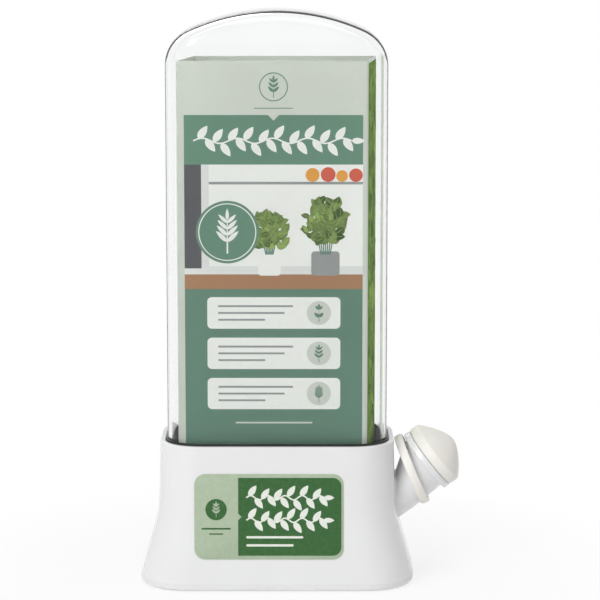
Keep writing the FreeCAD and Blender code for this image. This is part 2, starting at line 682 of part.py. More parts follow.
def make_fill_spout():
    """Oblique funnel: a level root at the tank, a tilted mouth and a thick lip."""
    under_lip = "-Sizes.lip_thick / 2"
    over_lip = "Sizes.lip_thick / 2"
    body = new_body("spout_form")
    neck = mouth_sketch(body, "neck", under_lip)
    circle_at_origin(neck, "neck", "neck_diameter")
    loft(body, "funnel", (root_sketch(body, "root", "root_diameter"), neck))
    stub = root_sketch(body, "stub_outline", "root_diameter")
    pad(body, "stub", stub, "root_run", reverse=True)
    lip_outline = mouth_sketch(body, "lip_outline", under_lip)
    circle_at_origin(lip_outline, "lip", "lip_diameter")
    lip = pad(body, "lip", lip_outline, "lip_thick")
    chamfer(body, "lip_edge", lip, circles_of(lip, size("lip_diameter") / 2), "lip_bevel")

    bore_neck = mouth_sketch(body, "bore_neck", under_lip)
    circle_at_origin(bore_neck, "bore", "neck_bore")
    loft(body, "passage", (root_sketch(body, "bore_root", "root_bore"), bore_neck), cut=True)
    stub_bore = root_sketch(body, "stub_bore_outline", "root_bore")
    pocket(body, "stub_bore", stub_bore, "root_run")
    mouth = mouth_sketch(body, "mouth_outline", over_lip)
    circle_at_origin(mouth, "mouth", "neck_bore")
    pocket(body, "mouth_bore", mouth, "lip_thick")

    wall = new_body("wall_form")
    outer_form(wall)
    trimmed = document.addObject("Part::Cut", "fill_spout")
    trimmed.Base = body
    trimmed.Tool = wall
    trimmed.Label = "fill_spout"
    return trimmed


# ---------------------------------------------------------------- cap, ring and strap

def cap_arcs():
    """Arcs of the rounded cone and the nose: the cone's arc holds the nose's inside it."""
    corner = Vector(size("cap_radius"), size("cap_rim"), 0)
    nose = size("cap_nose")
    bulge = size("cap_bulge")
    nose_hub = Vector(0, size("cap_rise") - nose, 0)
    reach = corner - nose_hub
    between = bulge - nose
    along = (reach.Length ** 2 + between ** 2 - bulge ** 2) / (2 * reach.Length)
    aside = math.sqrt(between ** 2 - along ** 2)
    unit = reach / reach.Length
    bulge_hub = nose_hub + unit * along + Vector(unit.y, -unit.x, 0) * aside
    start = math.atan2(corner.y - bulge_hub.y, corner.x - bulge_hub.x)
    meet = math.atan2(nose_hub.y - bulge_hub.y, nose_hub.x - bulge_hub.x)
    normal = Vector(0, 0, 1)
    return (Part.ArcOfCircle(Part.Circle(bulge_hub, normal, bulge), start, meet),
            Part.ArcOfCircle(Part.Circle(nose_hub, normal, nose), meet, math.pi / 2))


def cap_profile(body):
    """Half section of the cap: tapered plug, bevelled rim, rounded cone and nose."""
    radius = size("cap_radius")
    root = size("plug_root")
    tip = size("plug_tip")
    deep = -size("plug_length")
    sketch = plane_sketch(body, "profile", "XZ_Plane")
    bevel = size("cap_bevel")
    corners = (Vector(0, deep, 0), Vector(tip, deep, 0), Vector(root, 0, 0),
               Vector(radius - bevel, 0, 0), Vector(radius, bevel, 0),
               Vector(radius, size("cap_rim"), 0))
    for first, second in zip(corners, corners[1:]):
        sketch.addGeometry(Part.LineSegment(first, second), False)
    for arc in cap_arcs():
        sketch.addGeometry(arc, False)
    crown = Vector(0, size("cap_rise"), 0)
    sketch.addGeometry(Part.LineSegment(crown, corners[0]), False)
    end, taper, seat, bevelled, rim, cone, nose, axis = range(8)
    for first, second in ((end, taper), (taper, seat), (seat, bevelled), (bevelled, rim),
                          (rim, cone), (nose, axis), (axis, end)):
        constrain(sketch, "Coincident", first, 2, second, 1)
    constrain(sketch, "Tangent", cone, 2, nose, 1)
    constrain(sketch, "Horizontal", end)
    constrain(sketch, "Horizontal", seat)
    constrain(sketch, "Vertical", rim)
    constrain(sketch, "Vertical", axis)
    constrain(sketch, "PointOnObject", axis, 1, -2)
    constrain(sketch, "PointOnObject", nose, 3, -2)
    constrain(sketch, "PointOnObject", seat, 1, -1)
    dimension(sketch, "tip", "plug_tip", "DistanceX", end, 1, end, 2)
    dimension(sketch, "root", "plug_root", "DistanceX", -1, 1, seat, 1)
    dimension(sketch, "radius", "cap_radius", "DistanceX", -1, 1, rim, 1)
    dimension(sketch, "rim", "cap_rim", "DistanceY", -1, 1, rim, 2)
    dimension(sketch, "bevel_width", "cap_bevel", "DistanceX", bevelled, 1, bevelled, 2)
    dimension(sketch, "bevel_height", "cap_bevel", "DistanceY", bevelled, 1, bevelled, 2)
    dimension(sketch, "plug", "plug_length", "DistanceY", taper, 1, taper, 2)
    dimension(sketch, "rise", "cap_rise", "DistanceY", -1, 1, axis, 1)
    dimension(sketch, "bulge", "cap_bulge", "Radius", cone)
    dimension(sketch, "nose", "cap_nose", "Radius", nose)
    return sketch


def boss(body, name, plane, run, height=None):
    """Small round boss on the rear side, ending on the plane of the strap's feet."""
    sketch = plane_sketch(body, name + "_outline", "XZ_Plane", "-" + plane)
    if height:
        circle_above_origin(sketch, "boss", "boss_diameter", height)
    else:
        circle_at_origin(sketch, "boss", "boss_diameter")
    return pad(body, name, sketch, run)


def make_spout_cap():
    """Soft cap: rounded cone on a rim, hollow tapered plug below it, boss for the strap."""
    body = new_body("spout_cap")
    turned = body.newObject("PartDesign::Revolution", "turned")
    profile = cap_profile(body)
    turned.Profile = profile
    turned.ReferenceAxis = (profile, ["V_Axis"])
    turned.Angle = 360
    hollow = plane_sketch(body, "hollow_outline", "XY_Plane", "-plug_length")
    circle_at_origin(hollow, "hollow", "plug_bore")
    pocket(body, "hollow", hollow, "plug_bore_run", reverse=True)
    boss(body, "strap_boss", "cap_boss_plane", "cap_boss_run", height="boss_height")
    place(body, (0, 1, 0), "90 - Sizes.spout_angle", x="cap_x", z="cap_z")
    return body


def make_cap_ring():
    """Tether ring, hanging at a tilt on the spout's underside, with a boss for the strap."""
    body = new_body("cap_ring")
    band = plane_sketch(body, "band", "XY_Plane")
    circle_at_origin(band, "outer", "ring_diameter")
    circle_at_origin(band, "inner", "ring_bore")
    hoop = pad(body, "hoop", band, "ring_width", symmetric=True)
    rims = circles_of(hoop, size("ring_diameter") / 2)
    chamfer(body, "hoop_edges", hoop, rims, "ring_bevel")
    boss(body, "strap_boss", "strap_plane", "ring_boss_run")
    place(body, (0, 1, 0), "90 - Sizes.ring_tilt", x="ring_x", z="ring_z")
    return body


def make_cap_strap():
    """Bowed strap with one foot on the ring's boss and one at the cap's boss."""
    body = new_body("cap_strap")
    hub = Vector(0, size("strap_hub"), 0)
    normal = Vector(0, 0, 1)
    plane = size("strap_plane")
    sketch = plane_sketch(body, "bow_outline", "XY_Plane")
    ends = []
    for alias in ("strap_outer", "strap_inner"):
        dip = math.asin((plane - hub.y) / size(alias))
        arc = Part.ArcOfCircle(Part.Circle(hub, normal, size(alias)), dip, math.pi - dip)
        ends.append((arc.StartPoint, arc.EndPoint))
        sketch.addGeometry(arc, False)
    for side in (0, 1):
        sketch.addGeometry(Part.LineSegment(ends[0][side], ends[1][side]), False)
    outer, inner, right_foot, left_foot = range(4)
    for side, foot in ((1, right_foot), (2, left_foot)):
        constrain(sketch, "Coincident", outer, side, foot, 1)
        constrain(sketch, "Coincident", inner, side, foot, 2)
        constrain(sketch, "Horizontal", foot)
    constrain(sketch, "PointOnObject", outer, 3, -2)
    constrain(sketch, "Coincident", outer, 3, inner, 3)
    dimension(sketch, "outer", "strap_outer", "Radius", outer)
    dimension(sketch, "inner", "strap_inner", "Radius", inner)
    dimension(sketch, "right_plane", "strap_plane", "DistanceY", -1, 1, right_foot, 1)
    dimension(sketch, "left_plane", "strap_plane", "DistanceY", -1, 1, left_foot, 1)
    dimension(sketch, "hub", "strap_hub", "DistanceY", -1, 1, outer, 3)
    pad(body, "bow", sketch, "strap_width", symmetric=True)
    place(body, (0, 1, 0), "-Sizes.strap_angle / 1 deg", x="strap_x", z="strap_z")
    return body


# ---------------------------------------------------------------- build and export

def check_document():
    """Stop with a message if any object of the document failed."""
    for item in document.Objects:
        if "Invalid" in item.State or "Error" in item.State:
            raise RuntimeError(f"{item.Label} failed: {item.State}")


def export(parts):
    """Check every finished sub-part and write it to its own STEP file."""
    check_document()
    for part in parts:
        if part.Shape.isNull() or not part.Shape.isValid() or not part.Shape.Solids:
            raise RuntimeError(f"{part.Label} is not a valid solid")
    os.makedirs("parts", exist_ok=True)
    for part in parts:
        part.Shape.exportStep(f"parts/{part.Label}.step")
        box = part.Shape.BoundBox
        print(f"{part.Label}: {len(part.Shape.Solids)} solid, {part.Shape.Volume:.0f} mm3,"
              f" x {box.XMin:.1f} to {box.XMax:.1f}, y {box.YMin:.1f} to {box.YMax:.1f},"
              f" z {box.ZMin:.1f} to {box.ZMax:.1f}")


def main():
    """Fill the sheet, build every sub-part and export them."""
    fill_sheet()
    parts = [
        make_base_shell(),
        make_base_floor(),
        make_fill_spout(),
        make_cap_ring(),
        make_cap_strap(),
        make_spout_cap(),
        make_front_label(),
        make_stem_tray(),
        make_display_card(),
        make_dome_seal(),
        make_dome_cover(),
    ]
    document.recompute()
    export(parts)


main()
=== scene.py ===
"""Herb keeper with a clear dome, a flared water tank and a capped side spout.

Each operator builds one group of pieces as surfaces worked out with numpy, in metres and in the
frame of the packed model: +Z up, +X towards the spout, -Y towards the labelled front. A
function's s is the group of sizes that it reads.
"""
import math

import bmesh
import bpy
import numpy as np
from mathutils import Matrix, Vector


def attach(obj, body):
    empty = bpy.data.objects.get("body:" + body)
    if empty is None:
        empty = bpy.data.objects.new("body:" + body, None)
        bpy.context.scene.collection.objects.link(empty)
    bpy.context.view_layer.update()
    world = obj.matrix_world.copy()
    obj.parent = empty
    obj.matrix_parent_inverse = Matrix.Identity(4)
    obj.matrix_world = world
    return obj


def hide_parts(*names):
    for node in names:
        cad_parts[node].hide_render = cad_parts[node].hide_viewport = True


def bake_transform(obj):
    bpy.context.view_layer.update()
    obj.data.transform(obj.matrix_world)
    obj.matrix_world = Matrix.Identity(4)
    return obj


bl_info = {
    "name": "Herb Keeper",
    "version": (1, 0, 0),
    "blender": (4, 5, 0),
    "location": "3D View > Sidebar > Herb Keeper",
    "description": "Builds a herb keeper: water tank, spout and cap, clear dome, basket and card",
    "category": "Add Mesh",
}

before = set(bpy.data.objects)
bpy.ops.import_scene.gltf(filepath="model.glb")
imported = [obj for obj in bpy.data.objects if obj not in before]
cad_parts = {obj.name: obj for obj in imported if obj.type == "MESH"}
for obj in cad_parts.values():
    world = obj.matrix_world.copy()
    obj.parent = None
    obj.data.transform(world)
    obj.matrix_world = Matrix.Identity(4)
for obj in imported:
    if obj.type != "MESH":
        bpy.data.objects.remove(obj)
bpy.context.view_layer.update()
LEVEL, SIDEWAYS, UPRIGHT = np.eye(3)

# Points closer than this become one, and edges sharper than this stay crisp.
MERGE = 2e-6
CRISP_EDGE = math.radians(35)

# Steps in a quarter of a rounded corner, and points round a turned piece and round a peg.
ROUND_STEPS = 14
HOOP_STEPS = 96
PEG_STEPS = 32


# ---------------------------------------------------------------- numbers and colours

def mm(value):
    """Millimetres as metres."""
    return value / 1000


def ink(red, green, blue):
    """Scene-linear colour of a display colour whose channels run from 0 to 255."""
    shown = np.array([red, green, blue]) / 255
    linear = np.where(shown <= 0.04045, shown / 12.92, ((shown + 0.055) / 1.055) ** 2.4)
    return tuple(float(channel) for channel in linear)


def length(name, value, description):
    """Property for a size, given here in millimetres."""
    return bpy.props.FloatProperty(name=name, description=description, default=mm(value),
                                   unit="LENGTH", precision=4)


def angle(name, value, description):
    """Property for an angle, given here in degrees."""
    return bpy.props.FloatProperty(name=name, description=description,
                                   default=math.radians(value), unit="ROTATION")


def colour(name, value, description):
    """Property for a colour."""
    return bpy.props.FloatVectorProperty(name=name, description=description, default=value,
                                         size=3, min=0, max=1, subtype="COLOR")


# ---------------------------------------------------------------- surfaces

def grid_faces(rows, columns, close_rows=False, close_columns=False):
    """Quads between neighbouring points of a grid that is stored row by row."""
    row = np.arange(rows if close_rows else rows - 1)
    column = np.arange(columns if close_columns else columns - 1)
    row, column = np.meshgrid(row, column, indexing="ij")
    next_row = (row + 1) % rows
    next_column = (column + 1) % columns
    corners = (row * columns + column, row * columns + next_column,
               next_row * columns + next_column, next_row * columns + column)
    return np.stack(corners, axis=-1).reshape(-1, 4)


def surface(points, close_rows=False, close_columns=False):
    """Points and quads of one grid of points."""
    rows, columns = points.shape[:2]
    return points.reshape(-1, 3), grid_faces(rows, columns, close_rows, close_columns)


def joined(*parts):
    """Several sets of points and faces as one."""
    points, faces, first = [], [], 0
    for part_points, part_faces in parts:
        points.append(part_points)
        faces.append(part_faces + first)
        first += len(part_points)
    return np.concatenate(points), np.concatenate(faces)


def linked(name, data):
    """New object in the scene."""
    thing = bpy.data.objects.new(name, data)
    bpy.context.scene.collection.objects.link(thing)
    return thing


def solid(name, part, material):
    """Closed, smooth-shaded mesh object whose sharper edges stay crisp."""
    points, faces = part
    mesh = bpy.data.meshes.new(name)
    mesh.from_pydata(points.tolist(), [], faces.tolist())
    work = bmesh.new()
    work.from_mesh(mesh)
    bmesh.ops.remove_doubles(work, verts=work.verts, dist=MERGE)
    bmesh.ops.dissolve_degenerate(work, edges=work.edges, dist=MERGE)
    bmesh.ops.recalc_face_normals(work, faces=work.faces)
    work.to_mesh(mesh)
    work.free()
    mesh.shade_smooth()
    mesh.set_sharp_from_angle(angle=CRISP_EDGE)
    mesh.materials.append(material)
    return linked(name, mesh)


def eased_path(rows, radii, steps=6):
    """Closed path with eased corners.

    Corner P becomes the curve (1-t)^2 A + 2t(1-t) P + t^2 B, where A and B lie on its two sides
    at the corner's radius from it, or nearly half way along a shorter side. Rows may have any
    number of columns; the length of a side is taken over the first and last column.
    """
    rows = np.asarray(rows, float)
    radii = np.asarray(radii, float)[:, None]
    t = np.linspace(0, 1, steps + 1)[None, :, None]

    def towards(neighbour):
        side = neighbour - rows
        run = np.hypot(side[:, :1], side[:, -1:]) + 1e-9
        return rows + side * np.minimum(radii / run, 0.49)

    start = towards(np.roll(rows, 1, axis=0))[:, None]
    end = towards(np.roll(rows, -1, axis=0))[:, None]
    curve = (1 - t) ** 2 * start + 2 * t * (1 - t) * rows[:, None] + t ** 2 * end
    return curve.reshape(-1, rows.shape[1])


def rounded_rings(rows, steps=ROUND_STEPS):
    """Rounded rectangles, one for each row of half length, half depth, corner and height.

    A point is (sx (half_x - corner) + corner cos a, sy (half_y - corner) + corner sin a), where
    sx and sy are the signs of the corner that the angle a lies in.
    """
    half_x, half_y, corner, height = (column[:, None] for column in np.asarray(rows, float).T)
    quarter = np.linspace(0, math.pi / 2, steps + 1)
    turn = (quarter + math.pi / 2 * np.arange(4)[:, None]).ravel()
    sign_x = np.repeat([1, -1, -1, 1], steps + 1)
    sign_y = np.repeat([1, 1, -1, -1], steps + 1)
    x = sign_x * (half_x - corner) + corner * np.cos(turn)
    y = sign_y * (half_y - corner) + corner * np.sin(turn)
    return np.stack([x, y, np.broadcast_to(height, x.shape)], axis=-1)


def band(rows, radii, steps=6):
    """Closed solid whose section, a loop of rounded-rectangle rows, runs round the origin."""
    return surface(rounded_rings(eased_path(rows, radii, steps)), True, True)


def circle(count):
    """Points of a unit circle."""
    turn = np.linspace(0, 2 * math.pi, count, endpoint=False)
    return np.stack([np.cos(turn), np.sin(turn)], axis=-1)


def arc(centre, radius, start, end, steps):
    """Points of an arc in a section plane, with the angles in radians."""
    turn = np.linspace(start, end, steps)
    return np.asarray(centre) + radius * np.stack([np.cos(turn), np.sin(turn)], axis=-1)


def hoops(centres, tilts, radii, count=HOOP_STEPS):
    """Circles, one a row: centre + radius (cos a * down + sin a * sideways).

    The circle's axis rises from level by its tilt, and down points across it to the lower right.
    """
    tilts = np.asarray(tilts, float)
    down = np.stack([np.sin(tilts), np.zeros_like(tilts), -np.cos(tilts)], axis=-1)
    spokes = circle(count) @ np.stack([down, np.broadcast_to(SIDEWAYS, down.shape)], axis=1)
    return np.asarray(centres)[:, None] + np.asarray(radii)[:, None, None] * spokes


def axis_of(rise):
    """Unit vector in the XZ plane at a rise above level."""
    return math.cos(rise) * LEVEL + math.sin(rise) * UPRIGHT


def turned(path, centre, tilt, closed=True, count=HOOP_STEPS):
    """Solid of revolution: each row of the path is a radius and a distance along the axis."""
    path = np.asarray(path, float)
    centres = np.asarray(centre, float) + path[:, 1:] * axis_of(tilt)
    return surface(hoops(centres, np.full(len(path), tilt), path[:, 0], count), closed, True)


def peg(foot, top, radius, edge):
    """Round peg with an eased end, from a foot to a top that differ in Y only."""
    run = top[1] - foot[1]
    ease = np.linspace(0, math.pi / 2, 5)
    radii = np.concatenate([[0, radius], radius - edge + edge * np.cos(ease), [0]])
    reach = np.concatenate([[0, 0], run - edge + edge * np.sin(ease), [run]])
    spokes = circle(PEG_STEPS) @ np.stack([LEVEL, UPRIGHT])
    points = np.asarray(foot) + radii[:, None, None] * spokes
    points[..., 1] += reach[:, None]
    return surface(points, False, True)


# ---------------------------------------------------------------- printed shapes

# How far a leaf lies above its stem, and its tip above its foot.
LEAF_STEP = mm(0.004)
TIP_RISE = mm(0.03)


class Print:
    """Flat inked shapes on one plane, collected as arrays and made into one mesh.

    A point (u, v) at a lift lies at origin + u across + v up + lift outwards. The lifts keep each
    shape a little above the ones that it covers. Each shape has an ink, which is a material slot,
    and each leaf a tone from 0 to 1 and a map of its own blade.
    """

    def __init__(self):
        self.points, self.faces, self.inks, self.tones, self.maps = [], [], [], [], []
        self.first = 0
        self.face(np.zeros(3), LEVEL, UPRIGHT)

    def face(self, origin, across, up):
        """Choose the plane that the next shapes lie on."""
        self.origin = np.asarray(origin, float)
        self.axes = np.array([across, up, np.cross(across, up)], float)

    def add(self, flat, faces, lift, slot, tone=0.5, blade=None):
        """Add points (n, 2) with their faces, at one lift or one for each point."""
        count = len(flat)
        heights = np.broadcast_to(np.asarray(lift, float), (count,))
        local = np.concatenate([flat, heights[:, None]], axis=1)
        self.points.append(self.origin + local @ self.axes)
        self.faces += (np.asarray(faces) + self.first).tolist()
        self.inks.append(np.full(len(faces), slot))
        self.tones.append(np.broadcast_to(np.asarray(tone, float), (count,)))
        self.maps.append(np.full((count, 2), 0.5) if blade is None else blade)
        self.first += count

    def panel(self, left, right, low, high, lift, slot, corner=mm(0.2)):
        """Rounded panel."""
        half_x, half_y = (right - left) / 2, (high - low) / 2
        ring = rounded_rings([[half_x, half_y, corner, 0]], 8)[0, :, :2]
        flat = ring + [(left + right) / 2, (low + high) / 2]
        self.add(flat, [np.arange(len(flat))], lift, slot)

    def bar(self, left, right, middle, width, lift, slot, corner):
        """Level line with rounded ends."""
        self.panel(left, right, middle - width / 2, middle + width / 2, lift, slot, corner)

    def wedge(self, corners, lift, slot):
        """Three-cornered notch."""
        self.add(np.array(corners), [[0, 1, 2]], lift, slot)

    def disc(self, u, v, radius, lift, slot, count=64):
        """Round spot."""
        self.add(radius * circle(count) + [u, v], [np.arange(count)], lift, slot)

    def hoop(self, u, v, radius, width, lift, slot, count=96):
        """Round line."""
        edges = np.stack([radius + width / 2, radius - width / 2])[:, None, None] * circle(count)
        flat = edges.reshape(-1, 2) + [u, v]
        self.add(flat, grid_faces(2, count, False, True)[:, ::-1], lift, slot)

    def stroke(self, path, width, lift, slot):
        """Line along a path of points, with one width or one for each point."""
        path = np.asarray(path, float)
        run = np.gradient(path, axis=0)
        run /= np.linalg.norm(run, axis=1, keepdims=True)
        aside = np.stack([-run[:, 1], run[:, 0]], axis=-1)
        half = np.broadcast_to(np.asarray(width, float), (len(path),))[:, None] / 2
        flat = np.stack([path + aside * half, path - aside * half]).reshape(-1, 2)
        self.add(flat, grid_faces(2, len(path))[:, ::-1], lift, slot)

    def leaves(self, feet, headings, sizes, slot, lifts, tones, slim=0.5, steps=8):
        """Pointed leaves, all at once.

        Along the blade t runs from 0 to 1; the half width is size * slim/2 * sin(pi t^0.8)^0.8
        and the midrib runs from the foot along the heading.
        """
        feet, headings, sizes = (np.asarray(a, float) for a in (feet, headings, sizes))
        count, each = len(feet), 3 * (steps + 1)
        t = np.linspace(0, 1, steps + 1)
        half = slim / 2 * np.sin(math.pi * t ** 0.8) ** 0.8
        side = np.array([-1.0, 0.0, 1.0])
        along = np.stack([np.cos(headings), np.sin(headings)], axis=-1)
        aside = np.stack([-along[:, 1], along[:, 0]], axis=-1)
        blade = (t[None, :, None, None] * along[:, None, None]
                 + side[None, None, :, None] * half[None, :, None, None] * aside[:, None, None])
        flat = feet[:, None, None] + sizes[:, None, None, None] * blade
        first = np.arange(count)[:, None, None] * each
        faces = (grid_faces(steps + 1, 3)[None] + first).reshape(-1, 4)
        tilt = np.tile(np.repeat(t, 3), count) * TIP_RISE
        lift = np.repeat(np.broadcast_to(lifts, (count,)), each) + tilt
        tone = np.repeat(np.broadcast_to(tones, (count,)), each)
        uv = np.stack([np.tile(side, steps + 1) / 2 + 0.5, np.repeat(t, 3)], axis=-1)
        self.add(flat.reshape(-1, 2), faces, lift, slot, tone, np.tile(uv, (count, 1)))

    def make(self, name, materials):
        """The mesh object of everything that was added."""
        mesh = bpy.data.meshes.new(name)
        mesh.from_pydata(np.concatenate(self.points).tolist(), [], self.faces)
        for material in materials:
            mesh.materials.append(material)
        mesh.polygons.foreach_set("material_index", np.concatenate(self.inks).astype(np.int32))
        tone = mesh.attributes.new("tone", "FLOAT", "POINT")
        tone.data.foreach_set("value", np.concatenate(self.tones).astype(np.float32))
        corners = np.zeros(len(mesh.loops), np.int32)
        mesh.loops.foreach_get("vertex_index", corners)
        blade = mesh.uv_layers.new(name="blade")
        blade.data.foreach_set("uv", np.concatenate(self.maps)[corners].astype(np.float32).ravel())
        mesh.update()
        return linked(name, mesh)


def sprig(sheet, u, v, tall, slot, lift, pairs=3, blade=0.36, stem=0.035):
    """Upright stem with pairs of leaves that shrink towards the tip, and one leaf at its end.

    Blade and stem are the size of a leaf and the width of the stem as shares of the height, and
    more pairs make slimmer leaves.
    """
    t = np.linspace(0, 1, 12)
    along = np.array([0.0, 1.0])
    foot = np.array([u, v])
    path = foot + tall * 0.8 * t[:, None] * along
    sheet.stroke(path, tall * stem * (1.1 - 0.6 * t), lift, slot)
    stations = np.linspace(0.26, 0.68, pairs)
    feet = np.repeat(foot + tall * stations[:, None] * along, 2, axis=0)
    feet = np.concatenate([feet, [foot + tall * 0.74 * along]])
    splay = 0.8
    turns = math.pi / 2 + np.append(np.tile([splay, -splay], pairs), 0)
    sizes = np.append(np.repeat(tall * blade * (1.1 - 0.5 * stations), 2), tall * 0.26)
    sheet.leaves(feet, turns, sizes, slot, lift + LEAF_STEP, 0.5, slim=1.21 / (pairs + 0.2))


def garland(sheet, left, right, v, height, slot, lift):
    """Wavy stem with leaves above and below it in turn."""
    t = np.linspace(0, 1, 90)
    path = np.stack([left + (right - left) * t, v + height * 0.1 * np.sin(t * 9 * math.pi)],
                    axis=-1)
    sheet.stroke(path, mm(0.7), lift, slot)
    count = int((right - left) / (0.3 * height))
    stations = np.linspace(0.03, 0.95, count)
    feet = np.stack([np.interp(stations, t, column) for column in path.T], axis=-1)
    splay = 0.95
    turns = np.where(np.arange(count) % 2, -splay, splay)
    sizes = np.full(count, height * 0.62)
    sheet.leaves(feet, turns, sizes, slot, lift + LEAF_STEP, 0.5, slim=0.48)
    sheet.leaves([path[-1]], [0.0], [height * 0.5], slot, lift + LEAF_STEP, 0.5, slim=0.48)


# ---------------------------------------------------------------- materials

def shader_of(name):
    """New material with its node tree and its main shader."""
    material = bpy.data.materials.new(name)
    material.use_nodes = True
    return material, material.node_tree, material.node_tree.nodes["Principled BSDF"]


def fill(tree, made, inputs):
    """Set a node's inputs, each to a number, a colour or another node's output."""
    for key, value in inputs.items():
        if isinstance(value, bpy.types.NodeSocket):
            tree.links.new(value, made.inputs[key])
        else:
            made.inputs[key].default_value = value


def node(tree, kind, inputs=None, **settings):
    """Add a node with its settings and its inputs."""
    made = tree.nodes.new(kind)
    for key, value in settings.items():
        setattr(made, key, value)
    fill(tree, made, inputs or {})
    return made


def worked(tree, operation, *values):
    """Result of a math node on numbers or other nodes' outputs."""
    return node(tree, "ShaderNodeMath", dict(enumerate(values)), operation=operation).outputs[0]


def noise(tree, scale, detail=3.0, stretch=(1, 1, 1)):
    """Noise on the piece's own coordinates, with its scale in cycles a metre."""
    place = node(tree, "ShaderNodeTexCoord").outputs["Object"]
    spread = node(tree, "ShaderNodeMapping", {"Vector": place, "Scale": stretch})
    made = node(tree, "ShaderNodeTexNoise", {"Vector": spread.outputs["Vector"], "Scale": scale,
                                             "Detail": detail})
    return made.outputs["Fac"]


def ranged(tree, value, low, high, start=0.35, end=0.65):
    """Value moved from the range start..end, where noise mostly lies, to low..high."""
    made = node(tree, "ShaderNodeMapRange", {"Value": value, "From Min": start, "From Max": end,
                                             "To Min": low, "To Max": high})
    return made.outputs["Result"]


def mixed(tree, factor, first, second):
    """Colour between two colours, which are inputs 6 and 7 and output 2 of their node."""
    ends = {key: value if isinstance(value, bpy.types.NodeSocket) else (*value, 1)
            for key, value in ((6, first), (7, second))}
    made = node(tree, "ShaderNodeMix", {"Factor": factor, **ends}, data_type="RGBA")
    return made.outputs[2]


def bumped(tree, height, depth, strength=1.0):
    """Normals of a relief whose height runs from 0 to 1."""
    made = node(tree, "ShaderNodeBump", {"Height": height, "Distance": depth,
                                         "Strength": strength})
    return made.outputs["Normal"]


def scaled(value, factor):
    """Colour made darker or lighter."""
    return tuple(min(1.0, channel * factor) for channel in value)


def mottled(tree, pattern, tint, least):
    """The tint, darkened to its least share where the pattern is low."""
    return mixed(tree, ranged(tree, pattern, 0, 1), scaled(tint, least), tint)


def moulded_plastic(name, tint, rough=(0.1, 0.17), wave=mm(0.02), glow=0.08):
    """Glossy moulded plastic: faint cloudiness, uneven gloss and the slow ripple of moulding."""
    material, tree, shader = shader_of(name)
    cloud, gloss, ripple = noise(tree, 18.0), noise(tree, 160.0, 4.0), noise(tree, 22.0, 1.0)
    fill(tree, shader, {
        "Base Color": mottled(tree, cloud, tint, 0.975),
        "Roughness": ranged(tree, gloss, *rough),
        "Normal": bumped(tree, ripple, wave),
        "IOR": 1.52,
        "Subsurface Weight": glow,
        "Subsurface Radius": (0.004, 0.004, 0.0045),
        "Subsurface Scale": 1.0,
    })
    return material


def clear_plastic(name, tint):
    """Clear moulded plastic: full transmission, a few soft smears and a faint grey body."""
    material, tree, shader = shader_of(name)
    smear, ripple = noise(tree, 35.0, 3.0, (1, 1, 0.35)), noise(tree, 14.0, 1.0)
    fill(tree, shader, {
        "Base Color": mottled(tree, smear, tint, 0.99),
        "Roughness": ranged(tree, smear, 0.0, 0.035, 0.55, 0.8),
        "Normal": bumped(tree, ripple, mm(0.012)),
        "Transmission Weight": 1.0,
        "IOR": 1.3,
    })
    grey, per_metre = (0.35, 0.36, 0.36, 1), 14.0
    body = node(tree, "ShaderNodeVolumeAbsorption", {"Color": grey, "Density": per_metre})
    fill(tree, tree.nodes["Material Output"], {"Volume": body.outputs["Volume"]})
    return material


def soft_rubber(name, tint, rough=(0.42, 0.55)):
    """Soft rubber or silicone: satin, with a fine grain and a faint bloom."""
    material, tree, shader = shader_of(name)
    bloom, grain = noise(tree, 60.0), noise(tree, 2500.0, 2.0)
    fill(tree, shader, {
        "Base Color": mottled(tree, bloom, tint, 0.94),
        "Roughness": ranged(tree, bloom, *rough),
        "Normal": bumped(tree, grain, mm(0.02), 0.5),
        "IOR": 1.42,
        "Subsurface Weight": 0.12,
        "Subsurface Radius": (0.003, 0.0028, 0.0022),
        "Subsurface Scale": 1.0,
    })
    return material


def printed_paper(name, tint, rough=(0.32, 0.42), shine=0.2):
    """Coated board with an even print: fine fibres in the relief, slight mottle in the ink."""
    material, tree, shader = shader_of(name)
    mottle, fibres = noise(tree, 420.0, 4.0), noise(tree, 3200.0, 3.0)
    fill(tree, shader, {
        "Base Color": mottled(tree, mottle, tint, 0.98),
        "Roughness": ranged(tree, mottle, *rough),
        "Normal": bumped(tree, fibres, mm(0.008), 0.4),
        "Specular IOR Level": shine,
    })
    return material


def printed_leaf(name, dark, light):
    """Printed leaves: each has its own tone, a pale midrib and slanting side veins.

    On the blade's map x runs across it, with the midrib at a half, and y from foot to tip. The
    veins are the crests of sin(44 (y - 0.9 |x - 0.5|)).
    """
    material, tree, shader = shader_of(name)
    tone = node(tree, "ShaderNodeAttribute", attribute_name="tone").outputs["Fac"]
    blade = node(tree, "ShaderNodeUVMap", uv_map="blade").outputs["UV"]
    place = node(tree, "ShaderNodeSeparateXYZ", {"Vector": blade}).outputs
    aside = worked(tree, "ABSOLUTE", worked(tree, "SUBTRACT", place["X"], 0.5))
    slant = worked(tree, "MULTIPLY_ADD", aside, -0.9, place["Y"])
    wave = worked(tree, "SINE", worked(tree, "MULTIPLY", slant, 44.0))
    rib = ranged(tree, aside, 1.0, 0.0, 0.02, 0.09)
    vein = ranged(tree, wave, 0.0, 0.3, 0.75, 1.0)
    lines = ranged(tree, worked(tree, "MAXIMUM", rib, vein), 0.0, 0.45, 0.0, 1.0)
    fill(tree, shader, {
        "Base Color": mixed(tree, lines, mixed(tree, tone, dark, light), scaled(light, 1.5)),
        "Roughness": ranged(tree, noise(tree, 420.0), 0.32, 0.42),
        "Specular IOR Level": 0.0,
    })
    return material


# ---------------------------------------------------------------- sizes and colours

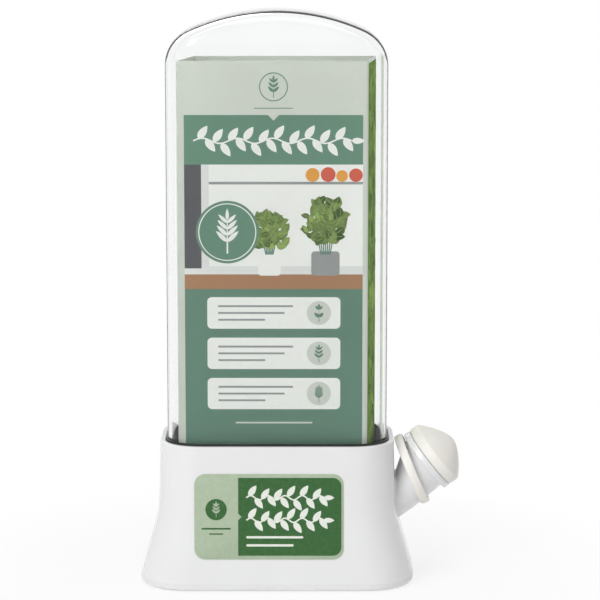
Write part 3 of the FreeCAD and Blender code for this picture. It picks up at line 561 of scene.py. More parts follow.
class TankSizes(bpy.types.PropertyGroup):
    """Water tank and floor."""
    foot_length: length("Foot length", 129.6, "Widest length, at the floor's parting line")
    foot_depth: length("Foot depth", 73.0, "Widest depth, at the floor's parting line")
    foot_corner: length("Foot corner", 23.0, "Corner radius at the foot")
    floor_thick: length("Floor thickness", 3.4, "Height of the parting line")
    floor_round: length("Floor rounding", 3.0, "Rounding of the floor's lower edge")
    shoulder_length: length("Shoulder length", 111.6, "Length where the flare starts")
    shoulder_depth: length("Shoulder depth", 67.2, "Depth where the flare starts")
    shoulder_corner: length("Shoulder corner", 20.0, "Corner radius at the shoulder")
    shoulder_height: length("Shoulder height", 35.5, "Height of the shoulder")
    shoulder_ease: length("Shoulder easing", 7.0, "How far the shoulder's bend spreads")
    rim_length: length("Rim length", 110.5, "Length at the rim")
    rim_depth: length("Rim depth", 61.5, "Depth at the rim")
    rim_corner: length("Rim corner", 19.5, "Corner radius at the rim")
    rim_height: length("Rim height", 68.1, "Height of the rim")
    rim_wall: length("Rim wall", 2.5, "Wall beside the dome")
    wall: length("Wall", 2.4, "Wall of the tank")
    ledge_height: length("Ledge height", 54.5, "Top of the ledge")
    ledge_thick: length("Ledge thickness", 2.2, "Thickness of the ledge")
    opening_length: length("Opening length", 91.0, "Length of the ledge's opening")
    opening_depth: length("Opening depth", 42.0, "Depth of the ledge's opening")
    opening_corner: length("Opening corner", 9.75, "Corner radius of the ledge's opening")
    inlet_bore: length("Inlet bore", 20.4, "Diameter of the water inlet")
    inlet_height: length("Inlet height", 38.5, "Height of the water inlet")
    plastic: colour("Plastic", ink(240, 240, 241), "White plastic of the tank and the spout")


class SpoutSizes(bpy.types.PropertyGroup):
    """Spout, cap, ring and strap."""
    root_x: length("Root", 56.6, "Where the straight root ends")
    root_diameter: length("Root diameter", 24.0, "Outer diameter at the tank")
    neck_diameter: length("Neck diameter", 27.0, "Outer diameter below the lip")
    wall: length("Wall", 1.8, "Wall of the spout")
    mouth_x: length("Mouth X", 71.55, "Middle of the lip, along X")
    mouth_z: length("Mouth Z", 55.65, "Middle of the lip, above the floor")
    rise: angle("Rise", 38.2, "Rise of the mouth's axis above level")
    lip_diameter: length("Lip diameter", 31.8, "Outer diameter of the lip")
    lip_thick: length("Lip thickness", 3.2, "Thickness of the lip")
    cap_seat: length("Cap seat", 0.15, "Gap between the lip and the cap")
    cap_diameter: length("Cap diameter", 31.8, "Diameter of the cap's rim")
    cap_rim: length("Cap rim", 4.6, "Height of the cap's rim")
    cap_rise: length("Cap rise", 14.1, "Height of the cap")
    cap_bulge: length("Cap bulge", 40.0, "Radius of the cap's rounded cone")
    cap_nose: length("Cap nose", 9.2, "Radius of the cap's nose")
    plug_length: length("Plug length", 4.5, "Length of the plug")
    plug_root: length("Plug root", 11.2, "Radius of the plug at the cap")
    plug_tip: length("Plug tip", 10.5, "Radius of the plug's end")
    plug_wall: length("Plug wall", 2.2, "Wall of the plug")
    cap_hollow: length("Cap hollow", 6.0, "Depth of the hollow inside the cap")
    ring_x: length("Ring X", 64.28, "Middle of the ring, along X")
    ring_z: length("Ring Z", 51.1, "Middle of the ring, above the floor")
    ring_tilt: angle("Ring tilt", 22.9, "Rise of the ring's axis above level")
    ring_bore: length("Ring bore", 31.8, "Inner diameter of the ring")
    ring_wall: length("Ring wall", 1.8, "Thickness of the ring")
    ring_width: length("Ring width", 4.1, "Width of the ring")
    boss_radius: length("Boss radius", 1.5, "Radius of the bosses that carry the strap")
    strap_plane: length("Strap plane", 18.2, "Where the strap's feet stand, along Y")
    strap_rise: length("Strap rise", 5.0, "Height of the strap's bow")
    strap_thick: length("Strap thickness", 1.3, "Thickness of the strap")
    strap_width: length("Strap width", 2.6, "Width of the strap")
    silicone: colour("Silicone", ink(250, 247, 240), "Cream silicone of cap, ring and strap")


class DomeSizes(bpy.types.PropertyGroup):
    """Clear dome and its seal."""
    length: length("Length", 103.5, "Outer length")
    depth: length("Depth", 54.5, "Outer depth")
    foot: length("Foot", 56.0, "Height of the lower edge")
    crown: length("Crown", 270.0, "Height of the crown")
    wall: length("Wall", 1.8, "Wall")
    corner: length("Corner", 16.0, "Radius of the upright corners in plan")
    crown_round: length("Crown rounding", 8.5, "Rounding between the top and the walls")
    arch: length("Arch", 98.0, "Radius of the arched top")
    haunch: length("Haunch", 19.0, "Radius between the arch and the sides")
    seal_lip: length("Seal lip", 0.7, "Thickness of the seal's outer lip")
    seal_top: length("Seal top", 69.0, "Height of the seal's lip")
    seal_foot: length("Seal foot", 54.5, "Height of the seal's underside")
    clear: colour("Clear plastic", (0.985, 0.995, 0.99), "Tint of the clear plastic")
    rubber: colour("Seal", (0.012, 0.016, 0.013), "Rubber of the seal")


class CardSizes(bpy.types.PropertyGroup):
    """Sleeve, sticker and basket."""
    length: length("Length", 88.0, "Outer length of the sleeve")
    front: length("Front", -21.0, "Plane of the sleeve's front, along Y")
    back: length("Back", 18.4, "Plane of the sleeve's back, along Y")
    foot: length("Foot", 55.9, "Height of the sleeve's lower edge")
    top: length("Top", 247.1, "Height of the sleeve's upper edge")
    front_shift: length("Front shift", -1.95, "Middle of the sleeve's front, along X")
    back_shift: length("Back shift", 4.1, "Middle of the sleeve's back, along X")
    sticker_shift: length("Sticker shift", -3.6, "Middle of the sticker, along X")
    board: length("Board", 0.6, "Thickness of the board")
    fold: length("Fold", 0.9, "Radius of a fold")
    sticker_length: length("Sticker length", 69.7, "Length of the sticker")
    sticker_height: length("Sticker height", 40.2, "Height of the sticker")
    sticker_corner: length("Sticker corner", 5.0, "Corner radius of the sticker")
    sticker_thick: length("Sticker thickness", 0.25, "Thickness of the sticker")
    sticker_middle: length("Sticker middle", 35.65, "Height of the sticker's middle")
    sage: colour("Sage", ink(208, 213, 203), "Pale ink")
    header: colour("Header", ink(98, 140, 118), "Middle green ink")
    field: colour("Field", ink(94, 132, 114), "Lower green ink")
    forest: colour("Forest", ink(62, 106, 60), "Deep green ink")
    mint: colour("Mint", ink(178, 194, 168), "Pale ink of the sticker")
    basket: colour("Basket", ink(226, 228, 224), "Plastic of the basket")


class PrintSizes(bpy.types.PropertyGroup):
    """Artwork of the sleeve and the sticker."""
    margin: length("Margin", 2.8, "Plain board at both sides of the front's print")
    edge: length("Edge", 1.2, "Plain board below and above the prints")
    shift: length("Shift", 0.6, "Middle of the front's print, from the front's own middle")
    header_top: length("Header top", 222.3, "Height of the header's upper edge")
    header_foot: length("Header foot", 199.4, "Height of the header's lower edge")
    picture_foot: length("Picture foot", 141.3, "Height of the picture's lower edge")
    emblem_height: length("Emblem height", 235.2, "Height of the emblem's middle")
    shelf_height: length("Shelf height", 191.4, "Top of the drawn upper shelf")
    wall_edge: length("Wall edge", -30.0, "Left edge of the drawn wall")
    badge_shift: length("Badge shift", -21.5, "Middle of the round badge, sideways")
    badge_height: length("Badge height", 168.0, "Height of the round badge's middle")
    badge_radius: length("Badge radius", 14.6, "Radius of the round badge")
    box_length: length("Box length", 62.0, "Length of a box in the lower field")
    box_height: length("Box height", 14.9, "Height of a box in the lower field")
    box_pitch: length("Box pitch", 19.1, "Distance from one box to the next")
    box_top: length("Top box", 130.05, "Height of the top box's middle")
    crest_shift: length("Crest shift", -24.7, "Middle of the sticker's emblem, sideways")
    crest_rise: length("Crest rise", 3.4, "Sticker's emblem, above the sticker's middle")
    crest_radius: length("Crest radius", 5.0, "Radius of the sticker's emblem")
    block_left: length("Block left", -14.4, "Left edge of the sticker's dark block")
    block_right: length("Block right", 33.8, "Right edge of the sticker's dark block")
    block_height: length("Block height", 36.6, "Height of the sticker's dark block")
    block_corner: length("Block corner", 4.0, "Corner radius of the sticker's dark block")


SIZE_GROUPS = (("keeper_tank", TankSizes), ("keeper_spout", SpoutSizes),
               ("keeper_dome", DomeSizes), ("keeper_card", CardSizes),
               ("keeper_print", PrintSizes))


# ---------------------------------------------------------------- tank

def half_row(size_x, size_y, corner, height):
    """Row of a rounded ring from full sizes."""
    return (size_x / 2, size_y / 2, corner, height)


def tank_shell(s):
    """Closed section of the shell: up the outside, down the pocket, round the ledge, down."""
    under = s.ledge_height - s.ledge_thick
    share = (under - s.shoulder_height) / (s.rim_height - s.shoulder_height)
    inner = 2 * s.wall
    pocket = (s.rim_length - 2 * s.rim_wall, s.rim_depth - 2 * s.rim_wall,
              s.rim_corner - s.rim_wall)
    opening = (s.opening_length, s.opening_depth, s.opening_corner)

    def upper(base, top):
        return base + (top - base) * share

    rows = [
        half_row(s.foot_length, s.foot_depth, s.foot_corner, s.floor_thick),
        half_row(s.shoulder_length, s.shoulder_depth, s.shoulder_corner, s.shoulder_height),
        half_row(s.rim_length, s.rim_depth, s.rim_corner, s.rim_height),
        half_row(*pocket, s.rim_height),
        half_row(*pocket, s.ledge_height),
        half_row(*opening, s.ledge_height),
        half_row(*opening, under),
        half_row(upper(s.shoulder_length, s.rim_length) - inner,
                 upper(s.shoulder_depth, s.rim_depth) - inner,
                 upper(s.shoulder_corner, s.rim_corner) - s.wall, under),
        half_row(s.shoulder_length - inner, s.shoulder_depth - inner,
                 s.shoulder_corner - s.wall, s.shoulder_height),
        half_row(s.foot_length - inner, s.foot_depth - inner, s.foot_corner - s.wall,
                 s.floor_thick),
    ]
    rims = [mm(0.75), mm(0.45), mm(0.4)]
    ledge = [mm(0.35), mm(0.35), mm(0.8)]
    easing = [mm(0.25), s.shoulder_ease, *rims, *ledge, s.shoulder_ease, mm(0.1)]
    return band(rows, easing, 10)


def tank_floor(s):
    """Floor: recessed underside, rounded lower edge, and the rib that centres it in the tank.

    It stands on a narrow ring, and every row is the foot's outline drawn in by some way.
    """
    half_x, half_y, corner = s.foot_length / 2, s.foot_depth / 2, s.foot_corner
    recess, standing, bevel = mm(0.6), mm(8.2), mm(0.25)
    rib = s.wall + mm(1.5)
    rib_in = rib + mm(1.6)
    rib_top = s.floor_thick + mm(4.0)

    def inset(by, height):
        return (half_x - by, half_y - by, corner - by, height)

    turn = np.linspace(0, math.pi / 2, 9)
    edge = [inset(s.floor_round * (1 - math.sin(a)), s.floor_round * (1 - math.cos(a)))
            for a in turn]
    rows = [(0, 0, 0, recess), inset(standing + mm(0.8), recess),
            inset(standing + mm(0.2), mm(0.1)), inset(standing, 0), *edge,
            inset(0, s.floor_thick - bevel), inset(bevel, s.floor_thick),
            inset(rib, s.floor_thick), inset(rib, rib_top), inset(rib_in, rib_top),
            inset(rib_in, s.floor_thick), (0, 0, 0, s.floor_thick)]
    return surface(rounded_rings(rows), False, True)


def drill(thing, x, z, radius, run):
    """Bore a round hole along X, with the cut applied to the mesh."""
    path = [(0, -run / 2), (radius, -run / 2), (radius, run / 2), (0, run / 2)]
    tool = solid("drill", turned(path, (x, 0, z), 0.0, False, 64), thing.data.materials[0])
    cut = thing.modifiers.new("bore", "BOOLEAN")
    cut.operation = "DIFFERENCE"
    cut.solver = "EXACT"
    cut.object = tool
    bpy.context.view_layer.update()
    view = thing.evaluated_get(bpy.context.evaluated_depsgraph_get())
    mesh = bpy.data.meshes.new_from_object(view)
    thing.modifiers.clear()
    thing.data = mesh
    bpy.data.objects.remove(tool)
    mesh.set_sharp_from_angle(angle=CRISP_EDGE)


class KEEPER_OT_tank(bpy.types.Operator):
    """Build the flared water tank and its floor"""
    bl_idname = "keeper.tank"
    bl_label = "Water tank"

    def execute(self, context):
        s = context.scene.keeper_tank
        plastic = moulded_plastic("white_gloss_plastic", tuple(s.plastic))
        shell = solid("tank_shell", tank_shell(s), plastic)
        middle = s.shoulder_length / 2 - s.wall / 2
        drill(shell, middle, s.inlet_height, s.inlet_bore / 2, 6 * s.wall)
        floor = solid("tank_floor", tank_floor(s), plastic)
        for piece, cad_node in ((shell, "base_shell"), (floor, "base_floor")):
            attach(piece, "base")
            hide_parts(cad_node)
        return {"FINISHED"}


# ---------------------------------------------------------------- spout, cap, ring and strap

def mouth_of(s):
    """Middle of the mouth's lip, and the axis that it faces along."""
    return s.mouth_x * LEVEL + s.mouth_z * UPRIGHT, axis_of(s.rise)


def spout_tube(s, inlet_height):
    """Funnel that bends from the level root to the tilted mouth, with its lip and its bore.

    Centre, tilt and radius all move from root to neck by the same share, so each hoop turns a
    little further than the last.
    """
    mouth, axis = mouth_of(s)
    neck = mouth - axis * s.lip_thick / 2
    root = s.root_x * LEVEL + inlet_height * UPRIGHT
    sunk, bevel, ease = mm(2.2), mm(0.4), mm(0.6)
    inside = root - sunk * LEVEL
    outer_root, outer_neck = s.root_diameter / 2, s.neck_diameter / 2
    bore = outer_neck - s.wall
    hub = s.lip_diameter / 2 - ease
    lip_path = np.concatenate([
        [(outer_neck, 0)], arc((hub, ease), ease, -math.pi / 2, 0, 6),
        arc((hub, s.lip_thick - ease), ease, 0, math.pi / 2, 6),
        [(bore + bevel, s.lip_thick), (bore, s.lip_thick - bevel), (bore, 0)]])

    def run(wall, shares):
        centres = root + (neck - root) * shares[:, None]
        radii = outer_root - wall + (outer_neck - outer_root) * shares
        return centres, s.rise * shares, radii

    t = np.linspace(0, 1, 24)
    outer = run(0.0, t)
    inner = run(s.wall, t[::-1])
    centres = np.concatenate([[inside], outer[0], neck + lip_path[:, 1:] * axis, inner[0],
                              [inside]])
    tilts = np.concatenate([[0], outer[1], np.full(len(lip_path), s.rise), inner[1], [0]])
    radii = np.concatenate([[outer_root], outer[2], lip_path[:, 0], inner[2],
                            [outer_root - s.wall]])
    return surface(hoops(centres, tilts, radii), True, True)


def cap_path(s):
    """Half section of the cap: hollow plug, seat, rim, rounded cone and nose.

    The cone's arc passes through the rim's upper edge and holds the nose's arc inside it.
    """
    corner = np.array([s.cap_diameter / 2, s.cap_rim])
    hub = np.array([0, s.cap_rise - s.cap_nose])
    reach = corner - hub
    far = np.linalg.norm(reach)
    between = s.cap_bulge - s.cap_nose
    along = (far ** 2 + between ** 2 - s.cap_bulge ** 2) / (2 * far)
    aside = math.sqrt(between ** 2 - along ** 2)
    unit = reach / far
    bulge_hub = hub + unit * along + np.array([unit[1], -unit[0]]) * aside
    start = math.atan2(*(corner - bulge_hub)[::-1])
    meet = math.atan2(*(hub - bulge_hub)[::-1])
    radius, foot = s.cap_diameter / 2, -s.plug_length
    bore = s.plug_tip - s.plug_wall
    ease, hollow_round, bevel = mm(0.9), mm(2.0), mm(0.3)
    hollow = arc((bore - hollow_round, s.cap_hollow - hollow_round), hollow_round,
                 math.pi / 2, 0, 6)
    plug = [(bore, foot + bevel), (bore + bevel, foot), (s.plug_tip - mm(0.5), foot),
            (s.plug_tip, foot + mm(0.5)), (s.plug_root, -mm(0.2)), (s.plug_root + mm(0.2), 0)]
    lower = arc((radius - ease, ease), ease, -math.pi / 2, 0, 6)
    shoulder = [(radius, s.cap_rim - mm(0.7)), (radius - mm(0.08), s.cap_rim - mm(0.2))]
    upper = arc(bulge_hub, s.cap_bulge, start, meet, 18)
    upper[0] += (upper[1] - upper[0]) * 0.2
    nose = arc(hub, s.cap_nose, meet, math.pi / 2, 12)
    return np.concatenate([[(0, s.cap_hollow)], hollow, plug, lower, shoulder, upper, nose[1:]])


def ring_path(s):
    """Section of the tether ring: a band with eased edges and a low ridge round its outside."""
    inner, outer, half = s.ring_bore / 2, s.ring_bore / 2 + s.ring_wall, s.ring_width / 2
    rows = [(inner, -half), (outer - mm(0.45), -half), (outer, mm(0.3)), (outer - mm(0.4), half),
            (inner, half)]
    return eased_path(rows, [mm(0.3), mm(0.5), mm(0.35), mm(0.5), mm(0.3)], 5)


def strap_bow(s, start, end):
    """Bowed strap: a rounded section carried along an arc from one foot to the other.

    The arc stands on the line between the feet and bows sideways, along +Y; its ends run a
    little into the bosses.
    """
    chord = end - start
    span = np.linalg.norm(chord)
    along = chord / span
    radius = (span ** 2 / 4 + s.strap_rise ** 2) / (2 * s.strap_rise)
    hub = (start + end) / 2
    hub[1] = s.strap_plane + s.strap_rise - radius
    overlap, edge = mm(0.5), mm(0.45)
    dip = math.asin((s.strap_plane - overlap - hub[1]) / radius)
    turn = np.linspace(dip, math.pi - dip, 40)
    outward = np.cos(turn)[:, None] * along + np.sin(turn)[:, None] * SIDEWAYS
    centre = hub + radius * outward
    ring = rounded_rings([[s.strap_thick / 2, s.strap_width / 2, edge, 0]], 5)[0]
    points = (centre[:, None] + ring[None, :, :1] * outward[:, None]
              + ring[None, :, 1:2] * np.cross(along, SIDEWAYS))
    start_cap = np.broadcast_to(centre[:1, None], points[:1].shape)
    end_cap = np.broadcast_to(centre[-1:, None], points[:1].shape)
    return surface(np.concatenate([start_cap, points, end_cap]), False, True)


class KEEPER_OT_spout(bpy.types.Operator):
    """Build the filling spout"""
    bl_idname = "keeper.spout"
    bl_label = "Filling spout"

    def execute(self, context):
        tank = context.scene.keeper_tank
        plastic = bpy.data.materials["white_gloss_plastic"]
        tube = solid("spout_tube", spout_tube(context.scene.keeper_spout, tank.inlet_height),
                     plastic)
        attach(tube, "base")
        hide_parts("fill_spout")
        return {"FINISHED"}


class KEEPER_OT_cap(bpy.types.Operator):
    """Build the cap, its tether ring and the strap between them"""
    bl_idname = "keeper.cap"
    bl_label = "Cap and tether"

    def execute(self, context):
        s = context.scene.keeper_spout
        silicone = soft_rubber("cream_silicone", tuple(s.silicone))
        mouth, axis = mouth_of(s)
        seat = mouth + axis * (s.lip_thick / 2 + s.cap_seat)
        cap_boss = seat + axis * s.cap_rim / 2
        ring_middle = s.ring_x * LEVEL + s.ring_z * UPRIGHT
        ease, sunk = mm(0.35), mm(1.2)
        cap = solid("spout_stopper", joined(
            turned(cap_path(s), seat, s.rise, False),
            peg(cap_boss + SIDEWAYS * (s.cap_diameter / 2 - sunk),
                cap_boss + SIDEWAYS * (s.strap_plane - mm(0.1)), s.boss_radius, ease)), silicone)
        ring = solid("tether_ring", joined(
            turned(ring_path(s), ring_middle, s.ring_tilt),
            peg(ring_middle + SIDEWAYS * (s.ring_bore + s.ring_wall) / 2,
                ring_middle + SIDEWAYS * s.strap_plane, s.boss_radius, ease)), silicone)
        strap = solid("tether_strap", strap_bow(s, ring_middle, cap_boss), silicone)
        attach(cap, "cap")
        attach(ring, "base")
        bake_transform(strap)
        for piece, cad_node in ((cap, "spout_cap"), (ring, "cap_ring"), (strap, "cap_strap")):
            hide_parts(cad_node)
        return {"FINISHED"}


# ---------------------------------------------------------------- dome

def dome_stations(s, wall):
    """Stations along X on one skin of the dome: place, half depth in plan and height of the top.

    With them come the X part of the wall's normal and of the top's. The upright corners and the
    haunches are arcs; the stations crowd towards the ends, where both turn.
    """
    half, deep = s.length / 2 - wall, s.depth / 2 - wall
    corner, haunch, arch = s.corner - wall, s.haunch - wall, s.arch - wall
    arch_z = s.crown - s.arch
    haunch_x = s.length / 2 - s.haunch
    haunch_z = arch_z + math.sqrt((s.arch - s.haunch) ** 2 - haunch_x ** 2)
    meet_x = arch * haunch_x / (s.arch - s.haunch)
    turn = np.linspace(0, math.pi / 2, 30)
    side = np.concatenate([half - corner + corner * np.cos(turn),
                           np.linspace(half - corner, 0, 22)[1:]])
    x = np.concatenate([side, -side[-2::-1]])
    over = np.clip(np.abs(x) - (half - corner), 0, None)
    plan_y = deep - corner + np.sqrt(np.clip(corner ** 2 - over ** 2, 0, None))
    past = np.clip(np.abs(x) - haunch_x, 0, None)
    on_haunch = np.abs(x) > meet_x
    top = np.where(on_haunch, haunch_z + np.sqrt(np.clip(haunch ** 2 - past ** 2, 0, None)),
                   arch_z + np.sqrt(arch ** 2 - x ** 2))
    wall_x = over / corner
    top_x = np.where(on_haunch, past / haunch, np.abs(x) / arch)
    return x, plan_y, top, wall_x, top_x


def dome_skin(s, wall):
    """One skin of the dome, as sections across its depth from one end to the other.

    Each section climbs the front wall, turns over the crown's edge and comes down the back. The
    edge is a quarter ellipse whose half axes are r tan(b / 2), with b the angle between the
    wall and the top, so it dies out where the haunch runs into the side.
    """
    x, plan_y, top, wall_x, top_x = dome_stations(s, wall)
    bend = np.arccos(np.clip(wall_x * top_x, 0, 1))
    ease = (s.crown_round - wall) * np.tan(bend / 2)
    climb = np.linspace(0, 1, 10)[:, None]
    turn = np.linspace(0, math.pi / 2, 10)[1:, None]
    wall_top = top - ease
    z = np.concatenate([s.foot + (wall_top - s.foot) * climb, wall_top + ease * np.sin(turn)])
    y = np.concatenate([np.broadcast_to(plan_y, (len(climb), len(x))),
                        plan_y - ease + ease * np.cos(turn)])
    front = np.stack([np.broadcast_to(x, y.shape), -y, z], axis=-1)
    back = front[::-1] * np.array([1, -1, 1])
    return np.concatenate([front, back]), len(climb)


def dome_solid(s):
    """Outer and inner skin with their flat ends, joined round the lower edge."""
    parts, feet = [], []
    for wall in (0.0, s.wall):
        skin, climb = dome_skin(s, wall)
        parts.append(surface(skin))
        for end in (0, -1):
            parts.append(surface(np.stack([skin[:climb, end], skin[:-climb - 1:-1, end]])))
        feet.append(np.concatenate([skin[0], skin[-1, ::-1]]))
    return joined(*parts, surface(np.stack(feet), False, True))


def seal_band(s):
    """L-shaped seal: a foot below the dome's edge and a thin lip up its outside."""
    gap = mm(0.04)

    def row(outset, height):
        return (s.length / 2 + outset, s.depth / 2 + outset, s.corner + outset, height)

    rows = [row(s.seal_lip, s.seal_foot), row(s.seal_lip, s.seal_top), row(gap, s.seal_top),
            row(gap, s.foot - gap), row(-s.wall, s.foot - gap), row(-s.wall, s.seal_foot)]
    return band(rows, [mm(0.3), mm(0.3), mm(0.2), mm(0.05), mm(0.3), mm(0.3)], 4)


class KEEPER_OT_dome(bpy.types.Operator):
    """Build the clear dome and the seal on its lower edge"""
    bl_idname = "keeper.dome"
    bl_label = "Dome and seal"

    def execute(self, context):
        s = context.scene.keeper_dome
        dome = solid("clear_dome", dome_solid(s), clear_plastic("clear_plastic", tuple(s.clear)))
        seal = solid("black_seal", seal_band(s),
                     soft_rubber("seal_rubber", tuple(s.rubber), (0.35, 0.5)))
        for piece, cad_node, slot in ((dome, "dome_cover", "clear_plastic"),
                                      (seal, "dome_seal", "seal_rubber")):
            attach(piece, "dome")
            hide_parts(cad_node)
        return {"FINISHED"}


# ---------------------------------------------------------------- basket

class KEEPER_OT_basket(bpy.types.Operator):
    """Build the slotted stem basket from the model's own mesh, with doubled points merged"""
    bl_idname = "keeper.basket"
    bl_label = "Stem basket"

    def execute(self, context):
        plastic = moulded_plastic("basket_plastic", tuple(context.scene.keeper_card.basket),
                                  (0.35, 0.48), mm(0.01), 0.1)
        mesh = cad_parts["stem_tray"].data.copy()
        mesh.name = "stem_basket"
        work = bmesh.new()
        work.from_mesh(mesh)
        bmesh.ops.remove_doubles(work, verts=work.verts, dist=MERGE / 2)
        work.to_mesh(mesh)
        work.free()
        mesh.materials.clear()
        mesh.materials.append(plastic)
        mesh.shade_smooth()
        mesh.set_sharp_from_angle(angle=math.radians(28))
        basket = linked("stem_basket", mesh)
        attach(basket, "tray")
        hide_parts("stem_tray")
        return {"FINISHED"}


# ---------------------------------------------------------------- card and sticker

# Slots of the sleeve's inks and of the sticker's, in the order of their lists of materials.
(SAGE, HEADER, FIELD, WHITE, PALE, WOOD, SLATE, LEAF, ORANGE, RED, GREY, MEADOW, STEM,
 HERB) = range(14)
MINT, FOREST, BRIGHT = range(3)


def print_materials(s):
    """Inks of the card, in the order of their slots."""
    return [
        printed_paper("sage_ink", tuple(s.sage)),
        printed_paper("header_ink", tuple(s.header)),
        printed_paper("field_ink", tuple(s.field)),
        printed_paper("white_ink", ink(244, 245, 241)),
        printed_paper("pale_ink", ink(226, 228, 226)),
        printed_paper("wood_ink", ink(168, 124, 88)),
        printed_paper("slate_ink", ink(84, 84, 88)),
        printed_leaf("leaf_ink", ink(52, 78, 38), ink(148, 172, 96)),
        printed_paper("orange_ink", ink(232, 160, 62)),
        printed_paper("red_ink", ink(214, 92, 68)),
        printed_paper("grey_ink", ink(150, 154, 152)),
        printed_paper("meadow_ink", ink(112, 148, 56), shine=0.0),
        printed_paper("stem_ink", ink(48, 76, 16), shine=0.0),
        printed_leaf("herb_ink", ink(50, 86, 20), ink(144, 178, 84)),
    ]


def sticker_materials(s):
    """Inks of the sticker, in the order of their slots."""
    rough = (0.22, 0.32)
    return [
        printed_paper("mint_ink", tuple(s.mint), rough),
        printed_paper("forest_ink", tuple(s.forest), rough),
        printed_paper("sticker_white_ink", ink(236, 240, 230), rough),
    ]


def bunch(sheet, seed, u, low, high, half):
    """Round-shouldered bunch of leaves on a few stems."""
    rng = np.random.default_rng(seed)
    count, size, stems = 150, mm(4.6), 7
    t = np.linspace(0, 1, 8)
    for offset in np.linspace(-0.5, 0.5, stems) * half:
        path = np.stack([u + offset * (0.5 + 0.6 * t), low + (high - low) * 0.5 * t], axis=-1)
        sheet.stroke(path, mm(0.55), mm(0.12), FIELD)
    rise = rng.uniform(0.16, 0.93, count)
    spread = half * np.sqrt(np.clip(1 - np.abs(2 * rise - 0.95) ** 3, 0.1, 1))
    feet = np.stack([u + spread * rng.uniform(-1, 1, count), low + (high - low) * rise], axis=-1)
    headings = rng.normal(math.pi / 2, 0.9, count)
    sizes = size * rng.uniform(0.7, 1.25, count)
    lifts = mm(0.14) + mm(0.1) * rng.permutation(count) / count
    tones = np.clip(rng.normal(0.45, 0.25, count), 0, 1)
    sheet.leaves(feet, headings, sizes, LEAF, lifts, tones, slim=0.62)


def herb_panel(sheet, seed, half, low, high):
    """Side of the sleeve: tall stems with leaves in many directions, none past the edge."""
    rng = np.random.default_rng(seed)
    count, size = 330, mm(12)
    sheet.panel(-half, half, low, high, mm(0.04), MEADOW)
    t = np.linspace(0, 1, 40)
    for column in (-0.62, -0.2, 0.3, 0.7):
        sway = half * (column + 0.08 * np.sin(t * 7 + 5 * column))
        path = np.stack([sway, low + (high - low) * (0.02 + 0.9 * t)], axis=-1)
        sheet.stroke(path, mm(1.5) * (1.2 - 0.7 * t), mm(0.07), STEM)
    headings = rng.uniform(0, 2 * math.pi, count)
    sizes = size * rng.uniform(0.7, 1.2, count)
    middles = np.stack([rng.uniform(-half, half, count), rng.uniform(low, high, count)], axis=-1)
    reach = sizes[:, None] / 2
    middles = np.clip(middles, [-half, low] + reach, [half, high] - reach)
    feet = middles - reach * np.stack([np.cos(headings), np.sin(headings)], axis=-1)
    lifts = mm(0.08) + mm(0.16) * rng.permutation(count) / count
    tones = np.clip(rng.normal(0.6, 0.28, count), 0, 1)
    sheet.leaves(feet, headings, sizes, HERB, lifts, tones)


def header_print(sheet, art, half):
    """Header with its notch and its garland, and above it an emblem over a short line."""
    top, emblem, notch = art.header_top, art.emblem_height, mm(2.6)
    sheet.panel(-half, half, art.header_foot, top, mm(0.04), HEADER)
    sheet.wedge([(-notch, top), (0, top - notch), (notch, top)], mm(0.07), SAGE)
    garland(sheet, mm(-37), mm(36), art.header_foot + mm(11), mm(12), WHITE, mm(0.08))
    sheet.hoop(0, emblem, mm(6.4), mm(0.5), mm(0.04), HEADER)
    sprig(sheet, 0, emblem - mm(5), mm(10.4), HEADER, mm(0.06))
    sheet.bar(mm(-9), mm(9), emblem - mm(9.8), mm(0.4), mm(0.04), HEADER, mm(0.15))


def picture_print(sheet, art, half):
    """Two potted plants on a wooden shelf, round fruit on a shelf above, and a round badge."""
    low, high, shelf = art.picture_foot, art.header_foot, art.shelf_height
    sheet.panel(-half, half, low, high, mm(0.04), PALE)
    sheet.panel(art.wall_edge, half, low + mm(10.7), high, mm(0.06), WHITE)
    sheet.panel(-half, art.wall_edge - mm(3.5), low + mm(9.7), high, mm(0.07), SLATE)
    sheet.panel(-half, half, low, low + mm(6.9), mm(0.08), WOOD)
    sheet.bar(art.wall_edge, half, shelf - mm(0.6), mm(1.2), mm(0.1), GREY, mm(0.3))
    for u, radius, slot in ((18, 3.2, ORANGE), (25.2, 3.4, RED), (31.6, 2.7, ORANGE),
                            (38, 3.1, RED)):
        sheet.disc(mm(u), shelf + mm(radius), mm(radius), mm(0.12), slot)
    for u, seed, tall, wide, pot in ((24, 3, 41.7, 8.2, GREY), (-2, 5, 34.7, 6.6, WHITE)):
        sheet.panel(mm(u - wide * 0.8), mm(u + wide * 0.8), low + mm(6.3), low + mm(17.7),
                    mm(0.11), pot, mm(1.6))
        bunch(sheet, seed, mm(u), low + mm(16.2), low + mm(tall), mm(wide))
    u, v, radius = art.badge_shift, art.badge_height, art.badge_radius
    sheet.disc(u, v, radius, mm(0.3), HEADER, 96)
    sheet.hoop(u, v, radius - mm(1.4), mm(0.45), mm(0.33), WHITE)
    sprig(sheet, u, v - mm(10), mm(21), WHITE, mm(0.34), pairs=4)


